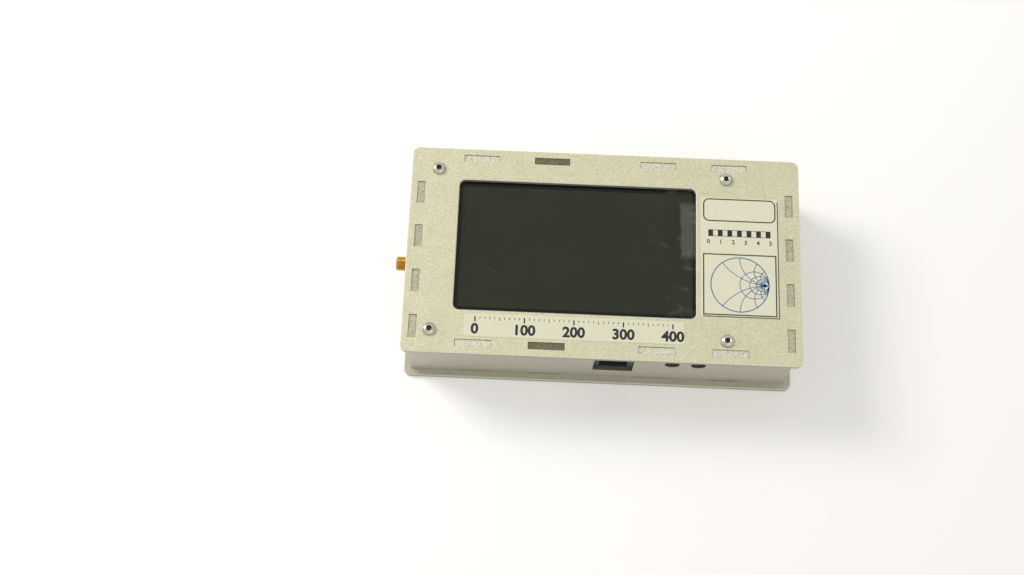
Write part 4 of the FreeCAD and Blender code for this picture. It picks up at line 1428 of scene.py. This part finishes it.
@dataclass
class Display:
    """The cover glass, the dark screen and the stack under them."""

    active_half: Point = (48.6 * MM, 27.2 * MM)
    screen_colour: Colour = srgb(28, 30, 24)
    foam_colour: Colour = srgb(20, 20, 20)
    flex_colour: Colour = srgb(190, 120, 30)

    def build(self) -> None:
        """Dresses the display."""
        low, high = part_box("touch_glass")
        centre = ((low.x + high.x) / 2, (low.y + high.y) / 2)
        dress(CoverGlass(centre, self.active_half).make(), "touch_glass")
        dress(MouldedPlastic("dark_screen", self.screen_colour, roughness=0.2).make(), "lcd_screen")
        dress(Foam("black_foam", self.foam_colour).make(), "window_gasket", "display_pads")
        dress(MouldedPlastic("amber_film", self.flex_colour, roughness=0.3).make(), "display_flex")


@dataclass
class CoaxialPort:
    """The threaded coaxial jack on the left wall, with its flange and legs."""

    crest_radius: float = 3.175 * MM
    pitch: float = 0.7056 * MM
    groove: float = 0.42 * MM
    groove_slope: float = 1.25
    crest_flat: float = 0.12
    bore_radius: float = 2.06 * MM
    lead_in: float = 0.45 * MM
    neck_relief: float = 0.4 * MM
    root_inset: float = 0.2 * MM
    segments: int = 40
    steps_per_turn: int = 8
    flange_depth: float = 1.6 * MM
    leg: float = 1.0 * MM
    chamfer: float = 0.15 * MM
    nut_chamfer_mm: float = 0.16

    def barrel(self, mouth: float, root: float, z: float) -> MeshData:
        """Builds the threaded barrel.

        The radius is the thread's crest less a groove whose depth is a rounded triangle wave of the
        distance along the axis less the turn's share of a pitch. It tapers off at the mouth, and from
        the nut's face inward it is a plain neck.

        Args:
            mouth: The X of its open end.
            root: The X of its end in the flange.
            z: The height of its axis.

        Returns:
            The mesh, whose bore runs from the root to the mouth and closes on the outside at both ends.
        """
        rows = round(abs(root - mouth) / self.pitch * self.steps_per_turn)
        along = np.linspace(0, root - mouth, rows)[:, None]
        angle = (np.arange(self.segments) / self.segments * math.tau)[None, :]
        wave = np.abs(((along / self.pitch - angle / math.tau) % 1) * 2 - 1)
        cut = np.clip(wave * self.groove_slope - self.crest_flat, 0, 1) * self.groove
        taper = np.clip(1 - along / self.lead_in, 0, 1) * self.groove
        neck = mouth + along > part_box("coax_nut")[0].x - self.pitch / self.steps_per_turn
        reach = self.crest_radius - np.where(neck, self.neck_relief, np.maximum(cut, taper))
        across = (reach * np.cos(angle), z + reach * np.sin(angle))
        outside = np.stack(np.broadcast_arrays(mouth + along, *across), -1)
        bore = arc((0, z), self.bore_radius, 0, math.tau, self.segments + 1)[:-1]
        inner = [np.column_stack((np.full(self.segments, x), bore)) for x in (root, mouth)]
        points = np.concatenate([*inner, outside.reshape(-1, 3)])
        rings = len(points) // self.segments
        made = MeshData()
        made.add(points, grid_faces(rings + 1, self.segments, True) % len(points))
        return made

    def block(self, made: MeshData, low: Triple, high: Triple) -> None:
        """Adds a block with small chamfers: two rings of four corners between two smaller faces.

        Args:
            made: The mesh that it is added to.
            low: The block's lowest corner.
            high: The block's highest corner.
        """
        ends = (low, high)
        corners = np.array([(ends[i][1], ends[j][2]) for i, j in ((0, 0), (1, 0), (1, 1), (0, 1))])
        inner = corners - np.sign(corners - corners.mean(axis=0)) * self.chamfer
        sides = (low[0] + self.chamfer, high[0] - self.chamfer)
        rings = [(low[0], inner), (sides[0], corners), (sides[1], corners), (high[0], inner)]
        points = np.concatenate([np.column_stack((np.full(4, x), ring)) for x, ring in rings])
        made.add(points, [*grid_faces(4, 4, True), (3, 2, 1, 0), (12, 13, 14, 15)])

    def build(self, plating: bpy.types.Material, sleeve: bpy.types.Material) -> None:
        """Builds the jack over its CAD node and dresses its other pieces.

        Args:
            plating: The gold plating.
            sleeve: The dielectric's plastic.
        """
        low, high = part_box("coax_jack")
        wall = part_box("left_wall")[1].x
        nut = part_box("coax_nut")
        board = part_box("rf_board")
        z = (nut[0].z + nut[1].z) / 2
        foot = z - self.crest_radius
        flange = wall + self.flange_depth
        made = self.barrel(low.x, wall + self.root_inset, z)
        self.block(made, (wall, low.y, foot), (flange, high.y, z + self.crest_radius))
        legs = ((foot, board[0].z), (board[1].z, board[1].z + self.leg))
        for side in (-1, 1):
            outer, inner = side * self.crest_radius, side * (self.crest_radius - self.leg)
            near, far = min(outer, inner), max(outer, inner)
            for bottom, top in legs:
                self.block(made, (flange, near, bottom), (high.x, far, top))
        place(made.object("coax_body", smooth=True), plating, "gold_plate", "coax_jack")
        chamfered = softened("coax_nut", "coax_nut_chamfered", self.nut_chamfer_mm)
        place(chamfered, plating, "gold_plate", "coax_nut")
        dress(plating, "coax_contact", "coax_washer")
        dress(sleeve, "coax_insulator")


@dataclass
class Sockets:
    """The network jack, the audio jacks, the micro sockets, the card and the press switches."""

    card_edge_mm: float = 0.12
    plunger_edge_mm: float = 0.2
    insert_colour: Colour = srgb(58, 58, 64)
    audio_colour: Colour = srgb(34, 34, 33)
    card_colour: Colour = srgb(30, 31, 34)
    lens_colour: Colour = srgb(176, 174, 150)
    plunger_colour: Colour = srgb(206, 202, 190)

    def build(self, steel: bpy.types.Material, black: bpy.types.Material, gold: bpy.types.Material) -> None:
        """Dresses the sockets and rounds the card and the plungers.

        Args:
            steel: Tinned sheet.
            black: Black moulded plastic.
            gold: Gold plating.
        """
        dress(steel, "network_shell", "data_usb_socket", "charge_usb_socket", "card_socket")
        dress(black, "reset_switch", "user_switch")
        dress(MouldedPlastic("jack_insert", self.insert_colour, roughness=0.4).make(), "network_insert")
        nose = MouldedPlastic("jack_body", self.audio_colour, roughness=0.35).make()
        dress(nose, "audio_jack_left", "audio_jack_right")
        card = MouldedPlastic("card_plastic", self.card_colour, roughness=0.35, grain_mm=0.15).make()
        rounded = softened("memory_card", "card_rounded", self.card_edge_mm)
        place(rounded, card, "connector_black", "memory_card", body="card")
        dress(gold, "network_contacts")
        lens = MouldedPlastic("lamp_lens", self.lens_colour, roughness=0.22).make()
        dress(lens, "network_leds", "charge_lamp")
        pale = MouldedPlastic("pale_plunger", self.plunger_colour, roughness=0.4).make()
        for body in ("reset", "user"):
            node = f"{body}_plunger"
            rounded = softened(node, f"{node}_rounded", self.plunger_edge_mm)
            place(rounded, pale, "connector_white", node, body=body)


@dataclass
class Inside:
    """The boards, headers, battery, leads and fasteners inside the case, and the slider on its switch."""

    slider_edge_mm: float = 0.2
    board_colour: Colour = srgb(16, 66, 44)
    track_colour: Colour = srgb(34, 104, 66)
    nylon_colour: Colour = srgb(220, 216, 200)
    battery_colour: Colour = srgb(150, 155, 162)
    adhesive_colour: Colour = srgb(24, 24, 24)
    lead_colour: Colour = srgb(170, 30, 26)
    nickel_colour: Colour = srgb(190, 186, 172)

    def build(self, steel: bpy.types.Material, black: bpy.types.Material, gold: bpy.types.Material) -> None:
        """Dresses the inner pieces and rounds the slider.

        Args:
            steel: Tinned sheet.
            black: Black moulded plastic.
            gold: Gold plating.
        """
        green = BoardLaminate("green_board", self.board_colour, self.track_colour).make()
        dress(green, "display_board", "rf_board", "power_board")
        dress(black, "processor", "board_chips", "rf_chips", "charger_chip")
        dress(black, "header_sockets", "header_strips", "spacer_sleeves", "power_switch")
        knob = softened("power_slider", "slider_rounded", self.slider_edge_mm)
        place(knob, black, "connector_black", "power_slider", body="slider")
        dress(steel, "lcd_tray", "rf_shield", "rf_crystal")
        dress(gold, "header_pins")
        dress(TurnedMetal("nickel_plating", self.nickel_colour, roughness=0.3).make(), "standoffs")
        pale = MouldedPlastic("pale_nylon", self.nylon_colour, roughness=0.4).make()
        dress(pale, "flex_connector", "battery_plug", "board_supports")
        wrap = MouldedPlastic(
            "battery_wrap", self.battery_colour, roughness=0.25, grain_mm=1.5, relief_mm=0.08
        )
        dress(wrap.make(), "battery_pack")
        dress(Foam("adhesive_foam", self.adhesive_colour).make(), "battery_pad")
        insulation = MouldedPlastic("red_insulation", self.lead_colour, roughness=0.35).make()
        dress(insulation, "battery_leads", "supply_leads")


@dataclass(frozen=True)
class Lamp:
    """A square area lamp that looks at the middle of the object."""

    name: str
    where: Triple
    side: float
    watts: float
    tint: Colour

    def build(self) -> None:
        """Makes the lamp."""
        data = bpy.data.lights.new(self.name, "AREA")
        data.size = self.side
        data.energy = self.watts
        data.color = self.tint
        made = linked(self.name, data)
        made.location = self.where
        made.rotation_mode = "QUATERNION"
        made.rotation_quaternion = (-made.location).to_track_quat("-Z", "Y")


@dataclass
class Studio:
    """The camera at the photograph's angle, the pale floor and the soft light.

    The camera looks straight down before its turns about X, Y and Z. The floor's glow rises with the
    sum of X and Y times lit_slope, towards the far left.
    """

    eye: Triple = (-33.18 * MM, -250.88 * MM, 639.67 * MM)
    turns_degrees: Triple = (21.11401, -0.50453, 2.34363)
    lens_mm: float = 55.46
    sensor_mm: float = 36.0
    clip_range: Span = (0.01, 50.0)
    floor_half: float = 6.0
    floor_drop: float = 0.1 * MM
    floor_colour: Colour = (0.95, 0.94, 0.92)
    floor_tone: float = 0.985
    floor_cloud_mm: float = 160.0
    floor_roughness: float = 0.85
    glow_near: Colour = (0.15, 0.138, 0.115)
    glow_far: Colour = (0.31, 0.32, 0.33)
    lit_slope: Point = (-1.1, 0.9)
    lit_reach: Span = (-0.35, 0.45)
    world_fill: float = 0.55
    lamps: tuple[Lamp, ...] = (
        Lamp("key", (-1.15, 0.62, 0.95), 0.6, 13.3, (1.0, 0.985, 0.95)),
        Lamp("fill", (0.7, -0.9, 1.2), 1.2, 2.0, (1.0, 0.99, 0.97)),
    )

    def camera(self) -> None:
        """Makes the scene's camera."""
        data = bpy.data.cameras.new("camera")
        data.lens = self.lens_mm
        data.sensor_width = self.sensor_mm
        data.clip_start, data.clip_end = self.clip_range
        made = linked("camera", data)
        turn = Euler([math.radians(angle) for angle in self.turns_degrees])
        made.matrix_world = Matrix.Translation(self.eye) @ turn.to_matrix().to_4x4()
        bpy.context.scene.camera = made

    def glow(self, shader: Shader) -> Wire:
        """Makes the floor's overexposed white, which lights nothing.

        Args:
            shader: The floor's shader.

        Returns:
            The colour that the floor gives off.
        """
        x, y, _ = shader.axes()
        lit = (x * self.lit_slope[0] + y * self.lit_slope[1]).ramp(*self.lit_reach)
        shown = shader.blend(lit, self.glow_near, self.glow_far)
        return shader.blend(shader.seen(), (0.0, 0.0, 0.0), shown)

    def floor(self) -> None:
        """Makes the pale floor."""
        side = self.floor_half
        corners = [(x * side, y * side, -self.floor_drop) for x, y in ((-1, -1), (1, -1), (1, 1), (-1, 1))]
        data = MeshData()
        data.add(np.array(corners), [(0, 1, 2, 3)])
        made = data.object("floor")
        shader = Shader("pale_floor")
        cloud = shader.noise(self.floor_cloud_mm, detail=2.0)
        material = shader.finish(
            Base_Color=shader.blend(cloud, varied(self.floor_colour, self.floor_tone), self.floor_colour),
            Roughness=self.floor_roughness,
            Emission_Color=self.glow(shader),
            Emission_Strength=1.0,
        )
        made.data.materials.append(material)

    def world(self) -> None:
        """Makes a world that is white to the eye and in reflections, and a softer fill elsewhere."""
        nodes = Nodes(bpy.data.worlds.new("studio"))
        bpy.context.scene.world = nodes.owner
        background = nodes.tree.nodes["Background"]
        nodes.feed(background.inputs["Color"], (1.0, 1.0, 1.0))
        nodes.feed(background.inputs["Strength"], nodes.seen() * (1 - self.world_fill) + self.world_fill)

    def build(self) -> None:
        """Sets up the studio."""
        bpy.context.scene.view_settings.view_transform = "Standard"
        self.camera()
        self.floor()
        self.world()
        for lamp in self.lamps:
            lamp.build()


def main() -> None:
    """Builds every sub-assembly in order."""
    logging.basicConfig(level=logging.INFO, format="%(name)s: %(message)s")
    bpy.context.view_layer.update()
    Studio().build()
    gold = TurnedMetal("gold_plating", srgb(222, 184, 106), roughness=0.26).make()
    steel = TurnedMetal("tinned_sheet", srgb(176, 176, 172), roughness=0.34).make()
    bright = TurnedMetal("bright_screw_steel", srgb(188, 186, 175), roughness=0.2).make()
    black = MouldedPlastic("black_moulding", srgb(26, 26, 26)).make()
    sleeve = MouldedPlastic("white_dielectric", srgb(232, 230, 220), roughness=0.4).make()
    Case().build()
    ButtonScrews().build(bright)
    dress(bright, "bottom_screws")
    PrintedFilms().build()
    Display().build()
    CoaxialPort().build(gold, sleeve)
    Sockets().build(steel, black, gold)
    Inside().build(steel, black, gold)


if __name__ == "__main__":
    main()
